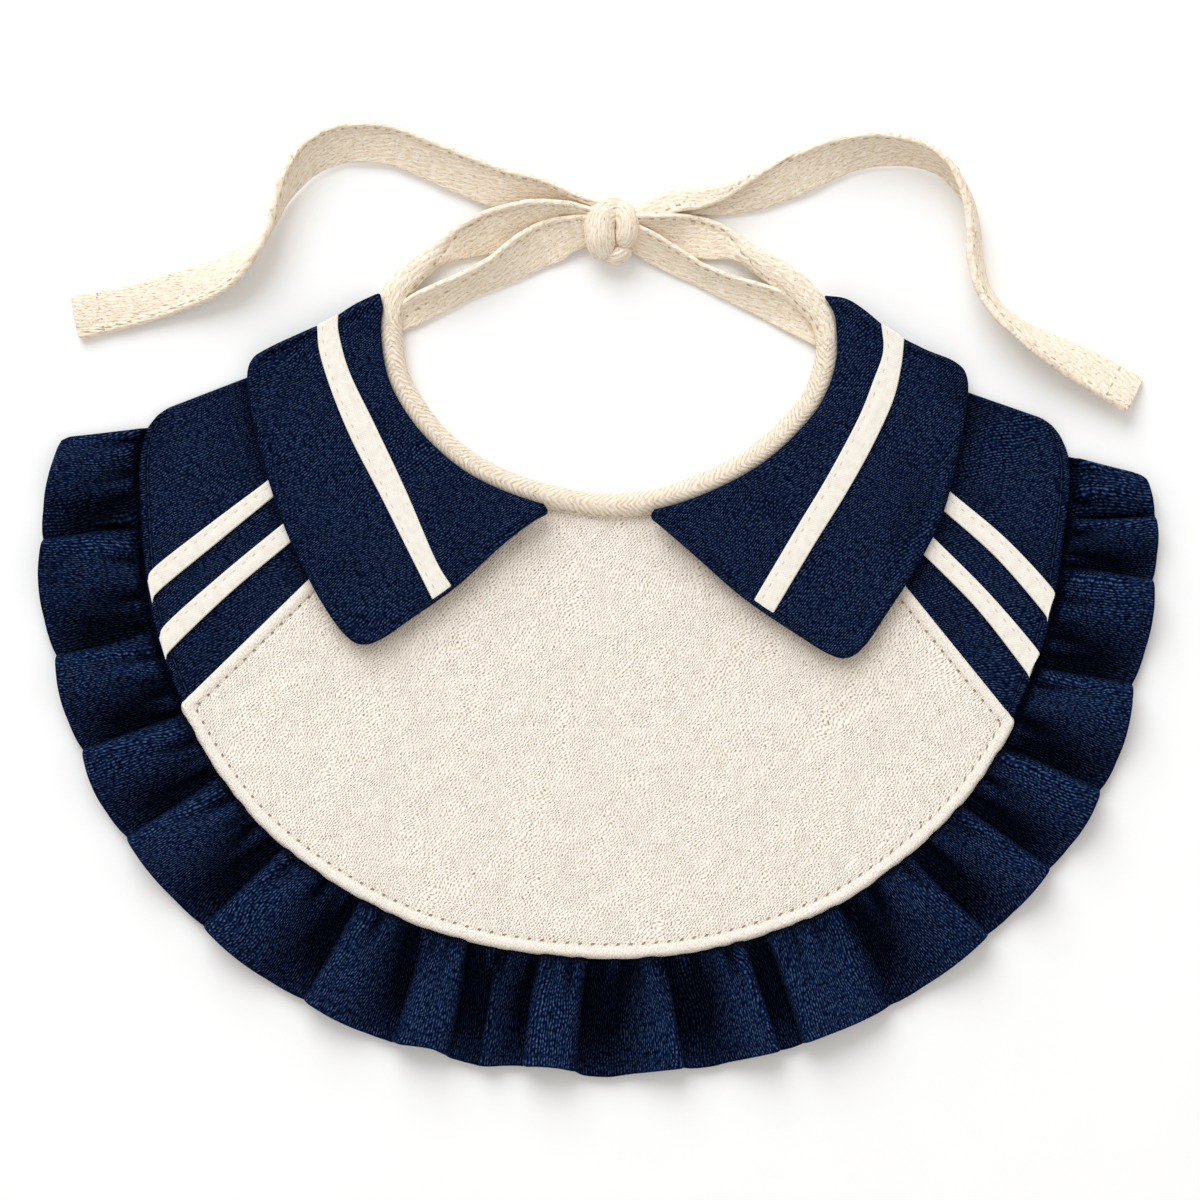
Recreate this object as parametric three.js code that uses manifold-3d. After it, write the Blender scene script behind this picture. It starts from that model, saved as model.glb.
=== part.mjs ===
import * as THREE from 'three';
import Module from 'manifold-3d';

// A bib-style peter pan collar, lying on its back. Millimetres, +Z up, neck opening towards +Y,
// origin on the surface it lies on, under the middle of the bib and its ruffle.

const gap = 0.3;             // clearance between neighbouring pieces
const bib = { thick: 2.2 };  // panel and shoulders: two layers, turned at the seam
const leaf = { thick: 2.2, middle: 4.9, rise: 1.6, fade: 12 };
const stripe = { thick: 0.8 };
const ruffle = { thick: 1.2, seamShare: 0.2, drawIn: 0.06 };
const tape = { thick: 1 };
const roll = { width: 6.2, height: 5.8 };   // binding round the neck

const navy = { color: 0x1a2a4d, roughness: 0.85, metalness: 0 };
const cream = { color: 0xeee4d2, roughness: 0.9, metalness: 0 };

const point = (x, y, z = 0) => new THREE.Vector3(x, y, z);
const up = point(0, 0, 1);
const lerp = THREE.MathUtils.lerp;
const steps = (n) => Array.from({ length: n + 1 }, (_, i) => i / n);
const rimmed = (n, rim) => [0, rim, ...steps(n).slice(1, -1), 1 - rim, 1];

// A smooth line through the chosen columns of a table, one row to each knot of the line.
function lineThrough(rows, columns = [0, 1], even = true) {
  const knots = rows.map((row) => point(...columns.map((c) => row[c])));
  const line = new THREE.CatmullRomCurve3(knots, false, even ? 'centripetal' : 'catmullrom');
  line.arcLengthDivisions = 600;
  return line;
}

// A point beside a line that runs round the collar from left to right, `out` away from the neck.
function beside(line, share, out) {
  const way = line.getTangentAt(share);
  return line.getPointAt(share).add(point(way.y, -way.x).multiplyScalar(out));
}

const bibEdge = lineThrough([   // outer seam, from the left back corner round to the right one
  [-115.5, 58], [-119.3, 49], [-119.3, 30], [-116.5, 5], [-109, -16.5], [-93.5, -42], [-78, -57],
  [-54, -71.5], [-30, -79.5], [0, -83], [23, -81.5], [43.5, -76.5], [62.5, -68.5], [83, -53.5],
  [95.5, -40.5], [107, -22.5], [116, 0], [120.5, 24], [122, 45], [118, 55.5],
]);
const bibEdgeLength = bibEdge.getLength();

const neckLine = lineThrough([  // middle of the neck binding, left end, front, right end
  [-53, 87.5], [-54.3, 80], [-52.7, 68], [-48.5, 59.5], [-42, 51.5], [-32.8, 44], [-21, 38.5],
  [-8, 35], [5, 33.8], [18, 36], [31, 41], [41, 46.8], [49.5, 54.3], [55.5, 62], [58.8, 72],
  [58.5, 84],
]);
const besideRoll = roll.width / 2 + gap + 0.1;

// A geometry whose faces all look outwards.
function geometryOf(points, index) {
  const shape = new THREE.BufferGeometry().setFromPoints(points);
  const [a, b, c] = [point(), point(), point()];
  let volume = 0;
  for (let i = 0; i < index.length; i += 3) {
    [a, b, c].forEach((v, k) => v.copy(points[index[i + k]]));
    volume += a.dot(b.cross(c));
  }
  shape.setIndex(volume < 0 ? index.slice().reverse() : index);
  shape.computeVertexNormals();
  return shape;
}

// One closed solid between two grids of points that face each other.
function between(over, under) {
  const rows = over.length - 1;
  const cols = over[0].length - 1;
  const id = (i, j, side) => (side * (rows + 1) + i) * (cols + 1) + j;
  const index = [];
  const quad = (a, b, c, d) => index.push(a, b, c, a, c, d);
  for (let i = 0; i < rows; i++) {
    for (let j = 0; j < cols; j++) {
      quad(id(i, j, 0), id(i + 1, j, 0), id(i + 1, j + 1, 0), id(i, j + 1, 0));
      quad(id(i, j, 1), id(i, j + 1, 1), id(i + 1, j + 1, 1), id(i + 1, j, 1));
    }
    quad(id(i, 0, 0), id(i, 0, 1), id(i + 1, 0, 1), id(i + 1, 0, 0));
    quad(id(i, cols, 0), id(i + 1, cols, 0), id(i + 1, cols, 1), id(i, cols, 1));
  }
  for (let j = 0; j < cols; j++) {
    quad(id(0, j, 0), id(0, j + 1, 0), id(0, j + 1, 1), id(0, j, 1));
    quad(id(rows, j + 1, 0), id(rows, j, 0), id(rows, j, 1), id(rows, j + 1, 1));
  }
  return geometryOf([...over.flat(), ...under.flat()], index);
}

// Cloth of even thickness about a grid of middle points; `rim` is the share left at its edges.
function cloth(middle, thick, rim = 0.5) {
  const rows = middle.length - 1;
  const cols = middle[0].length - 1;
  const side = (way) => middle.map((row, i) => row.map((p, j) => {
    const along = middle[Math.min(i + 1, rows)][j].clone().sub(middle[Math.max(i - 1, 0)][j]);
    const across = row[Math.min(j + 1, cols)].clone().sub(row[Math.max(j - 1, 0)]);
    const normal = along.cross(across).normalize();
    const edge = i === 0 || i === rows || j === 0 || j === cols;
    return p.clone().addScaledVector(normal, way * thick / 2 * (edge ? rim : 1));
  }));
  return between(side(1), side(-1));
}

// A round-edged roll along a line; its half width and half height are given at each share of it.
function rollAlong(line, count, size, sides = 10) {
  const points = [];
  for (const t of steps(count)) {
    const way = line.getTangentAt(t);
    const across = way.clone().cross(up).normalize();
    const lift = across.clone().cross(way).normalize();
    const [wide, high] = size(t);
    for (let k = 0; k < sides; k++) {
      const turn = 2 * Math.PI * k / sides;
      points.push(line.getPointAt(t)
        .addScaledVector(across, wide * Math.cos(turn)).addScaledVector(lift, high * Math.sin(turn)));
    }
  }
  const index = [];
  for (let i = 0; i < count; i++) {
    for (let k = 0; k < sides; k++) {
      const [a, b] = [i * sides + k, i * sides + (k + 1) % sides];
      index.push(a, b, b + sides, a, b + sides, a + sides);
    }
  }
  const ends = [points.length, points.length + 1];
  points.push(line.getPointAt(0), line.getPointAt(1));
  for (let k = 0; k < sides; k++) {
    const [a, b] = [k, (k + 1) % sides];
    index.push(ends[0], b, a, ends[1], count * sides + a, count * sides + b);
  }
  return geometryOf(points, index);
}

const group = new THREE.Group();
group.name = 'peter_pan_collar';
function piece(name, shape, look) {
  const mesh = new THREE.Mesh(shape, new THREE.MeshStandardMaterial(look));
  mesh.name = name;
  group.add(mesh);
}

// The bib: cloth spread flat between the neck binding and the outer seam, with straight ends.
function bibPart(neckFrom, neckTo, edgeFrom, edgeTo, count) {
  const middle = rimmed(count, 0.008).map((t) => {
    const inner = beside(neckLine, lerp(neckFrom, neckTo, t), besideRoll);
    const outer = bibEdge.getPointAt(lerp(edgeFrom, edgeTo, t) / bibEdgeLength);
    return rimmed(3, 0.015).map((s) => inner.clone().lerp(outer, s).setZ(bib.thick / 2));
  });
  return cloth(middle, bib.thick, 0.6);
}

const seam = { leftNeck: 0.247, rightNeck: 0.793, leftEdge: 78.7, rightEdge: 341.8 };
const slit = { neck: 0.003, edge: 0.5 };   // what the shoulders are cut back by at those seams
piece('bib_panel',
  bibPart(seam.leftNeck, seam.rightNeck, seam.leftEdge, seam.rightEdge, 28), cream);
piece('shoulder_left',
  bibPart(0.04, seam.leftNeck - slit.neck, 0, seam.leftEdge - slit.edge, 14), navy);
piece('shoulder_right',
  bibPart(seam.rightNeck + slit.neck, 0.95, seam.rightEdge + slit.edge, bibEdgeLength, 14), navy);

// A collar leaf lies flat at its outer edge and climbs a little towards the binding it is sewn into.
const neckOval = { x: 2.5, y: 84, wide: 59.5, deep: 53.5 };
function leafMiddle(x, y) {
  const reach = Math.hypot((x - neckOval.x) / neckOval.wide, (y - neckOval.y) / neckOval.deep) - 1;
  const away = Math.max(0, reach) * (neckOval.wide + neckOval.deep) / 2;
  return leaf.middle + leaf.rise * Math.exp(-away / leaf.fade);
}

// neck = share of the neck line the row starts from, x and y = where it meets the outer edge
const leafRows = {
  left: [
    [0.020, -56.8, 88.8], [0.035, -63, 86], [0.055, -69.5, 82], [0.075, -78, 78.2], [0.095, -86, 74.5],
    [0.115, -90, 71.7], [0.130, -91.3, 67], [0.150, -90.5, 59], [0.185, -87.3, 45.5],
    [0.220, -82.5, 30.5], [0.250, -77, 18], [0.280, -70.5, 6.5], [0.300, -65.5, 0],
    [0.315, -61.5, -2.2], [0.330, -56.5, -0.8], [0.350, -49, 4.3], [0.370, -37, 12.8],
    [0.388, -25.5, 23.2], [0.402, -17.5, 29.3], [0.414, -12.8, 31.8],
  ],
  right: [
    [0.990, 58.8, 88], [0.975, 63.5, 87], [0.955, 68.5, 84.2], [0.935, 75.5, 78.7],
    [0.915, 84, 74.3], [0.895, 91.5, 71.2], [0.877, 94.8, 67.5], [0.860, 95, 60],
    [0.830, 92.5, 46], [0.795, 88.5, 31], [0.765, 82, 18], [0.735, 74.5, 6.5],
    [0.715, 68.5, -2.3], [0.700, 64, -5.6], [0.685, 59, -4.6], [0.665, 51, 0.3],
    [0.640, 37, 9.8], [0.610, 24.5, 20.7], [0.588, 16.5, 27.6], [0.575, 12.5, 30.8],
  ],
};

function leafPart(rows) {
  const necks = lineThrough(rows.map(([neck]) => [neck, 0]), [0, 1], false);
  const edge = lineThrough(rows, [1, 2], false);
  const middle = rimmed(2 * (rows.length - 1), 0.006).map((t) => {
    const inner = beside(neckLine, necks.getPoint(t).x, besideRoll);
    const outer = edge.getPoint(t);
    return rimmed(4, 0.03).map((s) => {
      const p = inner.clone().lerp(outer, s);
      return p.setZ(leafMiddle(p.x, p.y));
    });
  });
  return cloth(middle, leaf.thick);
}
piece('collar_leaf_left', leafPart(leafRows.left), navy);
piece('collar_leaf_right', leafPart(leafRows.right), navy);

// A stripe: a narrow tape between two sides, given row by row as the left and the right point across it.
function stripePart(rows, count, height) {
  const [one, other] = [lineThrough(rows, [0, 1], false), lineThrough(rows, [2, 3], false)];
  const middle = steps(count).map((t) => [0, 0.5, 1].map((s) => {
    const p = one.getPoint(t).lerp(other.getPoint(t), s);
    return p.setZ(height(p.x, p.y) + gap + stripe.thick / 2);
  }));
  return cloth(middle, stripe.thick, 0.8);
}

const onLeaf = (x, y) => leafMiddle(x, y) + leaf.thick / 2;
const onBib = () => bib.thick;
const leafStripes = {
  left: [
    [-73, 80.2, -67.5, 83.2], [-72.3, 73, -67.3, 78], [-69, 62.5, -64.5, 68], [-64, 50.5, -58, 54.5],
    [-57, 37, -50, 37.5], [-50, 23, -42.5, 20], [-43, 9, -38, 12.5],
  ],
  right: [
    [72.5, 80.8, 78.5, 77], [73, 73.5, 77.7, 69.5], [70.5, 66, 75.5, 60.5], [66.5, 56, 70, 48.5],
    [58.5, 41, 63, 36], [51, 28.5, 55.5, 24], [39.3, 8.7, 44.3, 5.2],
  ],
};
const shoulderStripes = {
  left_upper: [[-80.5, 45.2, -79.5, 40.2], [-85.7, 40.7, -84.8, 36], [-101, 29.2, -99.5, 24],
    [-115.3, 18, -114, 12], [-117.3, 14.3, -116.1, 8.5]],
  left_lower: [[-76, 34.2, -75, 29], [-81.5, 29.7, -80, 24.5], [-97, 17, -95.5, 11.5],
    [-112, 3.7, -110.5, -2.8], [-114.3, -0.5, -112.6, -6.2]],
  right_upper: [[86, 42, 84.5, 37.3], [90.5, 37.7, 88.5, 33], [105, 25.5, 102.5, 20.5],
    [117, 12.7, 114.5, 6.7], [117.3, 10, 116, 3.7]],
  right_lower: [[81.5, 30.5, 79.5, 25.8], [86, 26, 83.5, 21.5], [100.5, 11.5, 97.5, 7.3],
    [113, -3, 109.5, -8], [113.3, -5.2, 111.3, -10.8]],
};
for (const [side, rows] of Object.entries(leafStripes)) {
  piece(`leaf_stripe_${side}`, stripePart(rows, 16, onLeaf), cream);
}
for (const [place, rows] of Object.entries(shoulderStripes)) {
  piece(`shoulder_stripe_${place}`, stripePart(rows, 8, onBib), cream);
}

// The binding is a fat rolled tape that holds every neck edge.
const bindingLine = lineThrough(steps(20).map((t) => {
  const p = neckLine.getPointAt(t);
  return [p.x, p.y, roll.height / 2 + 0.1];
}), [0, 1, 2]);
piece('neck_binding', rollAlong(bindingLine, 38, () => [roll.width / 2, roll.height / 2]), cream);

// The ruffle. Each row is a line across the ruffle: how far along the bib's outer seam it starts, where it
// meets the hem, and what the cloth does from there to the next row: its rise, its shape, and
// how far the hem swells outwards half way.
const folds = [
  { seam: 3.5, hem: [-140, 51.5], rise: 5, shape: 'start', swell: 1 },
  { seam: 31, hem: [-144.5, 24.5], rise: 7, shape: 'facesBack', swell: 1.7 },
  { seam: 60, hem: [-141, -5.5], rise: 7, shape: 'facesBack', swell: 1.3 },
  { seam: 81.5, hem: [-134, -30], rise: 7.5, shape: 'facesBack', swell: 1.4 },
  { seam: 100.5, hem: [-122.5, -52.5], rise: 7.5, shape: 'facesBack', swell: 0.7 },
  { seam: 125, hem: [-102.5, -75.5], rise: 7.5, shape: 'facesBack', swell: 1 },
  { seam: 149, hem: [-76.5, -94.5], rise: 7, shape: 'facesBack', swell: 0.7 },
  { seam: 168, hem: [-53, -105.5], rise: 7.5, shape: 'ridge', swell: 0 },
  { seam: 178, hem: [-39.5, -109], rise: 0.4, shape: 'hollow', swell: 0 },
  { seam: 185.5, hem: [-31, -111.5], rise: 4, shape: 'facesBack', swell: 0 },
  { seam: 196.5, hem: [-19.5, -111.5], rise: 7.5, shape: 'ridge', swell: -0.5 },
  { seam: 208, hem: [-6.5, -113], rise: 0.4, shape: 'hollow', swell: 0 },
  { seam: 214, hem: [0, -114.5], rise: 6, shape: 'facesOn', swell: 0 },
  { seam: 228.5, hem: [21.5, -112], rise: 0.4, shape: 'hollow', swell: 0 },
  { seam: 235, hem: [27, -112], rise: 7, shape: 'facesOn', swell: 0 },
  { seam: 249, hem: [46.5, -107.5], rise: 0.4, shape: 'hollow', swell: 0 },
  { seam: 257, hem: [53, -105.5], rise: 7.5, shape: 'ridge', swell: 0 },
  { seam: 277, hem: [75, -96], rise: 7, shape: 'facesOn', swell: 0.8 },
  { seam: 296.5, hem: [100.5, -77.5], rise: 7, shape: 'facesOn', swell: 0.4 },
  { seam: 316, hem: [116.5, -60.5], rise: 7.5, shape: 'facesOn', swell: 0.8 },
  { seam: 335, hem: [129.5, -40.5], rise: 7.5, shape: 'facesOn', swell: 1.7 },
  { seam: 356.5, hem: [138, -13], rise: 7.5, shape: 'facesOn', swell: 1.5 },
  { seam: 384.5, hem: [143.3, 14], rise: 6.5, shape: 'facesOn', swell: 0.6 },
  { seam: 395.5, hem: [144, 30.5], rise: 4.5, shape: 'finish', swell: 0 },
  { seam: 414, hem: [142, 41.5], rise: 0, shape: 'end', swell: 0 },
];

// Share of the way to the next row at the hem, the same at the seam, share of the fold's rise.
const shapes = {
  start: [[0, 0, 0.2], [0.08, 0.1, 0.45], [0.25, 0.25, 0.9], [0.38, 0.4, 1], [0.55, 0.5, 0.8],
    [0.75, 0.65, 0.3], [0.9, 0.8, 0.06]],
  facesBack: [[-0.03, -0.1, 0.05], [0, 0, 0.55], [0.035, 0.12, 0.9], [0.12, 0.25, 1],
    [0.32, 0.4, 0.94], [0.56, 0.55, 0.64], [0.78, 0.7, 0.26], [0.92, 0.82, 0.06]],
  facesOn: [[0.08, 0.18, 0.06], [0.22, 0.3, 0.26], [0.44, 0.45, 0.64], [0.68, 0.6, 0.94],
    [0.88, 0.75, 1], [0.965, 0.88, 0.9], [1, 1, 0.55], [1.03, 1.1, 0.05]],
  ridge: [[-0.06, -0.15, 0.06], [0, 0, 0.5], [0.08, 0.12, 0.9], [0.25, 0.3, 1], [0.75, 0.7, 1],
    [0.92, 0.88, 0.9], [1, 1, 0.5], [1.06, 1.15, 0.06]],
  hollow: [[0.5, 0.5, 0.5]],
  finish: [[0.15, 0.2, 0.7], [0.45, 0.45, 1], [0.75, 0.7, 0.8], [0.92, 0.9, 0.5], [1, 1, 0.3]],
  end: [],
};

const hemLine = lineThrough(folds.map(({ hem }) => hem), [0, 1], false);
const seamLine = lineThrough(folds.map((fold) => [fold.seam, 0]), [0, 1], false);
const ruffleGrid = [];
folds.forEach(({ rise, shape, swell }, row) => shapes[shape].forEach(([atHem, atSeam, share]) => {
  const [hemAt, seamAt] = [atHem, atSeam].map((s) => (row + s) / (folds.length - 1));
  const inner = beside(bibEdge, seamLine.getPoint(seamAt).x / bibEdgeLength, gap + 0.15);
  const outer = hemLine.getPoint(hemAt);
  const lift = rise * share;
  const swollen = swell * Math.sin(Math.PI * atHem) - ruffle.drawIn * lift;
  outer.lerp(inner, -swollen / outer.distanceTo(inner));
  ruffleGrid.push([0, 0.06, 0.3, 0.62, 0.94, 1].map((t) => inner.clone().lerp(outer, t)
    .setZ(ruffle.thick / 2 + lift * lerp(ruffle.seamShare, 1, Math.pow(t, 0.7)))));
}));
piece('ruffle', cloth(ruffleGrid, ruffle.thick), navy);

// Neck ties and tails. Columns: x, y, tilt in degrees (left edge up is positive), width of the cloth, lift off the table.
const ties = {
  neck_tie_left_upper: [
    [-52.2, 88.8, 40, 6.5, 2.5], [-50, 91.5, 43, 7.5, 2], [-45.6, 95, 48, 8.5, 1],
    [-39.6, 99.2, 47, 9.6, 0.3], [-33, 101.8, 46, 11.8, 0], [-26, 105, 43, 12, 0],
    [-18, 108.5, 57, 11.5, 0.5], [-10.5, 109.6, 60, 9, 1], [-3.8, 108.2, 64, 6, 2.8],
  ],
  neck_tie_left_lower: [
    [-50.2, 81.9, 60, 7, 0.6], [-43.5, 85, 60, 10, 0.2], [-36, 88.5, 57, 11.5, 0],
    [-28.5, 93, 53, 12, 0], [-20.5, 98.5, 35, 12, 0], [-13, 101.5, 38, 12, 0],
    [-8, 103, 53, 10.5, 0.5], [-5, 103.6, 58, 8, 1.5],
  ],
  neck_tie_right_upper: [
    [11.6, 106.3, 66, 6, 2.5], [15.5, 105.5, 65, 8, 2], [20.5, 104, 58, 12, 0.5],
    [27, 102.2, 43, 12, 0], [33.5, 99.7, 54, 11.8, 0], [39, 97, 55, 10, 0.3],
    [44.4, 93, 50, 9.2, 0.8], [50, 89, 44, 8.6, 1.2], [55.4, 84.7, 45, 7.4, 1.6],
  ],
  neck_tie_right_lower: [
    [11.1, 102.4, 52, 6.5, 1.2], [14.5, 100, 58, 10.5, 0.3], [20.5, 96.5, 59, 11.5, 0],
    [27, 93, 59, 12, 0], [34, 89, 58, 12, 0], [40.5, 86, 56, 12, 0], [46.5, 83, 60, 10.5, 0.3],
    [51, 80.5, 66, 8, 0.6], [54.9, 78.6, 69, 6, 0.8],
  ],
  tie_tail_left: [
    [-2.4, 110.4, -72, 6, 2.8], [-8, 112.4, -72, 7.5, 0.8], [-15.5, 114.5, -64, 11, 0],
    [-26, 116, -43, 12, 0], [-36, 120, -37, 12, 0], [-45.5, 124, -42, 12, 0],
    [-54.5, 127.5, -44, 12, 0], [-63, 128, -46, 12, 0], [-68.5, 127.5, -48, 12, 0],
    [-74.5, 125, -60, 12, 0], [-78.5, 120, -74, 12, 0], [-81.5, 114, -88, 12, 0],
    [-83.5, 108, -108, 12, 0], [-87.5, 102, -125, 12, 0], [-92, 98, -141, 12, 0],
    [-99.5, 93, -152, 12, 0], [-110, 89, -156, 12, 0], [-124.5, 85, -160, 12, 0],
    [-135.5, 83, -168, 12, 0],
  ],
  tie_tail_right: [
    [10.9, 109.5, -56, 6, 1.7], [17.5, 111.7, -50, 8, 0.4], [24.5, 112.5, -50, 10, 0],
    [31.5, 112.3, -40, 12, 0], [36.5, 113, 0, 12, 0], [41.5, 114.5, 30, 12, 0],
    [52, 119.5, 34, 12, 0], [59.5, 123, 40, 12, 0], [67, 125, 55, 12, 0], [75, 125.5, 66, 12, 0],
    [81.5, 124, 70, 12, 0], [87, 121, 73, 12, 0], [91, 116.5, 74, 12, 0], [93.5, 109.5, 74, 12, 0],
    [95, 102.5, 74, 12, 0], [97, 95, 76, 12, 0], [100, 88.5, 76, 12, 0], [105, 82, 73, 12, 0],
    [111, 77, 65, 12, 0], [119, 72.5, 52, 12, 0], [129.5, 67, 42, 12, 0], [138.5, 62, 46, 12, 0],
  ],
};

function tapePart(rows) {
  const count = rows.length * 3;
  const course = lineThrough(rows, [0, 1, 4], false);
  const lay = lineThrough(rows, [2, 3], false);
  const middle = steps(count).map((t) => {
    const way = course.getTangent(t).setZ(0).normalize();
    const { x: tilt, y: width } = lay.getPoint(t);
    const turn = THREE.MathUtils.degToRad(tilt);
    const half = point(-way.y * Math.cos(turn), way.x * Math.cos(turn), Math.sin(turn))
      .multiplyScalar(width / 2);
    const centre = course.getPoint(t);
    centre.z += tape.thick / 2 + 0.05 + Math.abs(half.z);
    return [centre.clone().sub(half), centre.clone().add(half)];
  });
  return cloth(middle, tape.thick, 1);
}
for (const [name, rows] of Object.entries(ties)) piece(name, tapePart(rows), cream);

// The knot: the course of each turn of the tape, with its half width and half height.
const wraps = [
  { rows: [[6, 97.8, 3.6], [1.4, 98, 5.2], [-1.6, 101.5, 6.4], [-1, 106.5, 7], [3.5, 109.8, 6]],
    wide: 3, high: 3 },
  { rows: [[2.8, 110.2, 6], [7, 109.4, 7.2], [8.4, 105.4, 7.4], [6.8, 101.4, 5.6]],
    wide: 3, high: 3 },
  { rows: [[1.4, 99, 3.6], [5.8, 98.6, 4], [8.8, 100.6, 4]], wide: 2.8, high: 3 },
  { rows: [[-4.4, 104.6, 5.4], [3.3, 104.2, 5], [10.9, 104.8, 5.2]], wide: 5.2, high: 4.2 },
];
const wasm = await Module();
wasm.setup();
let knot = null;
for (const { rows, wide, high } of wraps) {
  const swell = (t) => Math.sqrt(Math.max(0.12, 1 - Math.pow(Math.abs(2 * t - 1), 4)));
  const shape = rollAlong(lineThrough(rows, [0, 1, 2]), 9,
    (t) => [wide * swell(t), high * swell(t)], 8);
  const turn = new wasm.Manifold(new wasm.Mesh({ numProp: 3,
    vertProperties: new Float32Array(shape.attributes.position.array),
    triVerts: new Uint32Array(shape.index.array) }));
  knot = knot ? knot.add(turn) : turn;
}
const tied = knot.getMesh();
const tiedPoints = steps(tied.vertProperties.length / 3 - 1).map((_, i) =>
  point(...tied.vertProperties.slice(3 * i, 3 * i + 3)));
piece('knot', geometryOf(tiedPoints, Array.from(tied.triVerts)), cream);

export default group;
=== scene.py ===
import bpy
import numpy as np
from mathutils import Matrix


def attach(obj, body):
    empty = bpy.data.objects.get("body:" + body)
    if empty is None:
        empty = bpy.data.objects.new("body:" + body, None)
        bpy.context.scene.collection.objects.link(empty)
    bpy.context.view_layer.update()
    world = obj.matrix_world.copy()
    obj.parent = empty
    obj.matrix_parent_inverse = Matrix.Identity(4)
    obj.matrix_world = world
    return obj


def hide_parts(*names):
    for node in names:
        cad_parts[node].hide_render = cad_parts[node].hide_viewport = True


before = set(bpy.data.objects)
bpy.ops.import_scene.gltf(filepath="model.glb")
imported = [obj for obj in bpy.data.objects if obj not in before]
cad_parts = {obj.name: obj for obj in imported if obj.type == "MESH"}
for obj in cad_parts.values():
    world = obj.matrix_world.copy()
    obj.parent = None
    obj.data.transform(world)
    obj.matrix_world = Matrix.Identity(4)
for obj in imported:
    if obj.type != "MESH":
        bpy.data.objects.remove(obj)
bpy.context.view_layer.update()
mm = 0.001
print("frame loaded")


# A Catmull-Rom line through the rows of a table. Between two knots the point is the cubic that
# leaves and meets them along the chord of their neighbours; even spreads the knots by the root of
# their distance. at() runs over the knots and along() over the length.
class Line:
    def __init__(self, rows, even=False):
        knots = np.asarray(rows, float)
        self.knots = np.vstack([2 * knots[0] - knots[1], knots, 2 * knots[-1] - knots[-2]])
        steps = np.linalg.norm(np.diff(self.knots, axis=0), axis=1)
        self.gaps = np.sqrt(steps) if even else np.ones(len(steps))
        self.fine = np.linspace(0, 1, 2401)
        chords = np.linalg.norm(np.diff(self.at(self.fine), axis=0), axis=1)
        self.run = np.concatenate([[0], np.cumsum(chords)])
        self.length = self.run[-1]

    def at(self, share):
        place = np.asarray(share, float) * (len(self.knots) - 3)
        k = np.clip(np.floor(place).astype(int), 0, len(self.knots) - 4)
        w = (place - k)[..., None]
        a, b, c, d = (self.knots[k + i] for i in range(4))
        g0, g1, g2 = (self.gaps[k + i][..., None] for i in range(3))
        t1 = ((b - a) / g0 - (c - a) / (g0 + g1) + (c - b) / g1) * g1
        t2 = ((c - b) / g1 - (d - b) / (g1 + g2) + (d - c) / g2) * g1
        return (b + t1 * w + (3 * (c - b) - 2 * t1 - t2) * w ** 2
                + (2 * (b - c) + t1 + t2) * w ** 3)

    def share(self, part):   # share of the knots for a share of the length
        return np.interp(np.asarray(part, float) * self.length, self.run, self.fine)

    def along(self, part):
        return self.at(self.share(part))

    def way(self, part):
        part = np.asarray(part, float)
        step = self.along(np.minimum(part + 2e-4, 1)) - self.along(np.maximum(part - 2e-4, 0))
        return step / np.linalg.norm(step, axis=-1, keepdims=True)


# The point beside a flat line, `out` away from the neck.
def beside(line, part, out):
    way = line.way(part)
    return line.along(part) + np.stack([way[..., 1], -way[..., 0]], -1) * out


# Shares of a length from 0 to 1, crowded within `reach` of both ends so that a rim rounds well.
def rimShares(count, length, reach):
    lead = np.array([0, 0.03, 0.12, 0.28, 0.5, 0.75, 1]) * reach / length
    return np.concatenate([lead, np.linspace(lead[-1], 1 - lead[-1], count)[1:-1], 1 - lead[::-1]])


# A soft wave between about -1 and 1: a sum of sines with fixed random phases, each 1.83 times as
# fine and 1.6 times as low as the one before.
def wave(x, longest, seed, octaves=4):
    dice = np.random.default_rng(seed)
    total = 0
    for k in range(octaves):
        total = total + np.sin(2 * np.pi * x / longest * 1.83 ** k + dice.uniform(0, 6.28)) / 1.6 ** k
    return total / 1.9


# Distances of each grid point from the four sides, along the grid: start, end, first, last.
def sideDistances(grid):
    down = np.linalg.norm(np.diff(grid, axis=0), axis=-1)
    over = np.linalg.norm(np.diff(grid, axis=1), axis=-1)
    down = np.vstack([np.zeros((1, grid.shape[1])), np.cumsum(down, axis=0)])
    over = np.hstack([np.zeros((grid.shape[0], 1)), np.cumsum(over, axis=1)])
    return down, down[-1:] - down, over, over[:, -1:] - over


# Unit normals of a grid of points: the cross product of its two directions.
def normals(grid):
    n = np.cross(np.gradient(grid, axis=0), np.gradient(grid, axis=1))
    return n / np.maximum(np.linalg.norm(n, axis=-1, keepdims=True), 1e-12)


# How far a rounded edge has risen at a distance from the rim: a quarter ellipse, 0 to 1.
def rounded(distance, reach):
    return np.sqrt(1 - (1 - np.clip(distance / reach, 0, 1)) ** 2)


# Bends the grid near one of its corners so that the rim follows a quarter disc: in the square of
# one radius beside both sides, x goes to x*sqrt(1 - y*y/2) and y to y*sqrt(1 - x*x/2).
def roundCorner(flat, atEnd, atOuter, radius):
    start, end, first, last = sideDistances(flat)
    a, b = (end if atEnd else start), (last if atOuter else first)
    i, j = (-1 if atEnd else 0), (-1 if atOuter else 0)
    one = flat[np.argmin(np.abs(a[:, j] - radius)), j] - flat[i, j]
    other = flat[i, np.argmin(np.abs(b[i] - radius))] - flat[i, j]
    one, other = one / np.linalg.norm(one), other / np.linalg.norm(other)
    p, q = np.clip(1 - a / radius, 0, 1), np.clip(1 - b / radius, 0, 1)
    moveOne = radius * (p - p * np.sqrt(1 - q * q / 2))
    moveOther = radius * (q - q * np.sqrt(1 - p * p / 2))
    return flat + moveOne[..., None] * one + moveOther[..., None] * other


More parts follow.
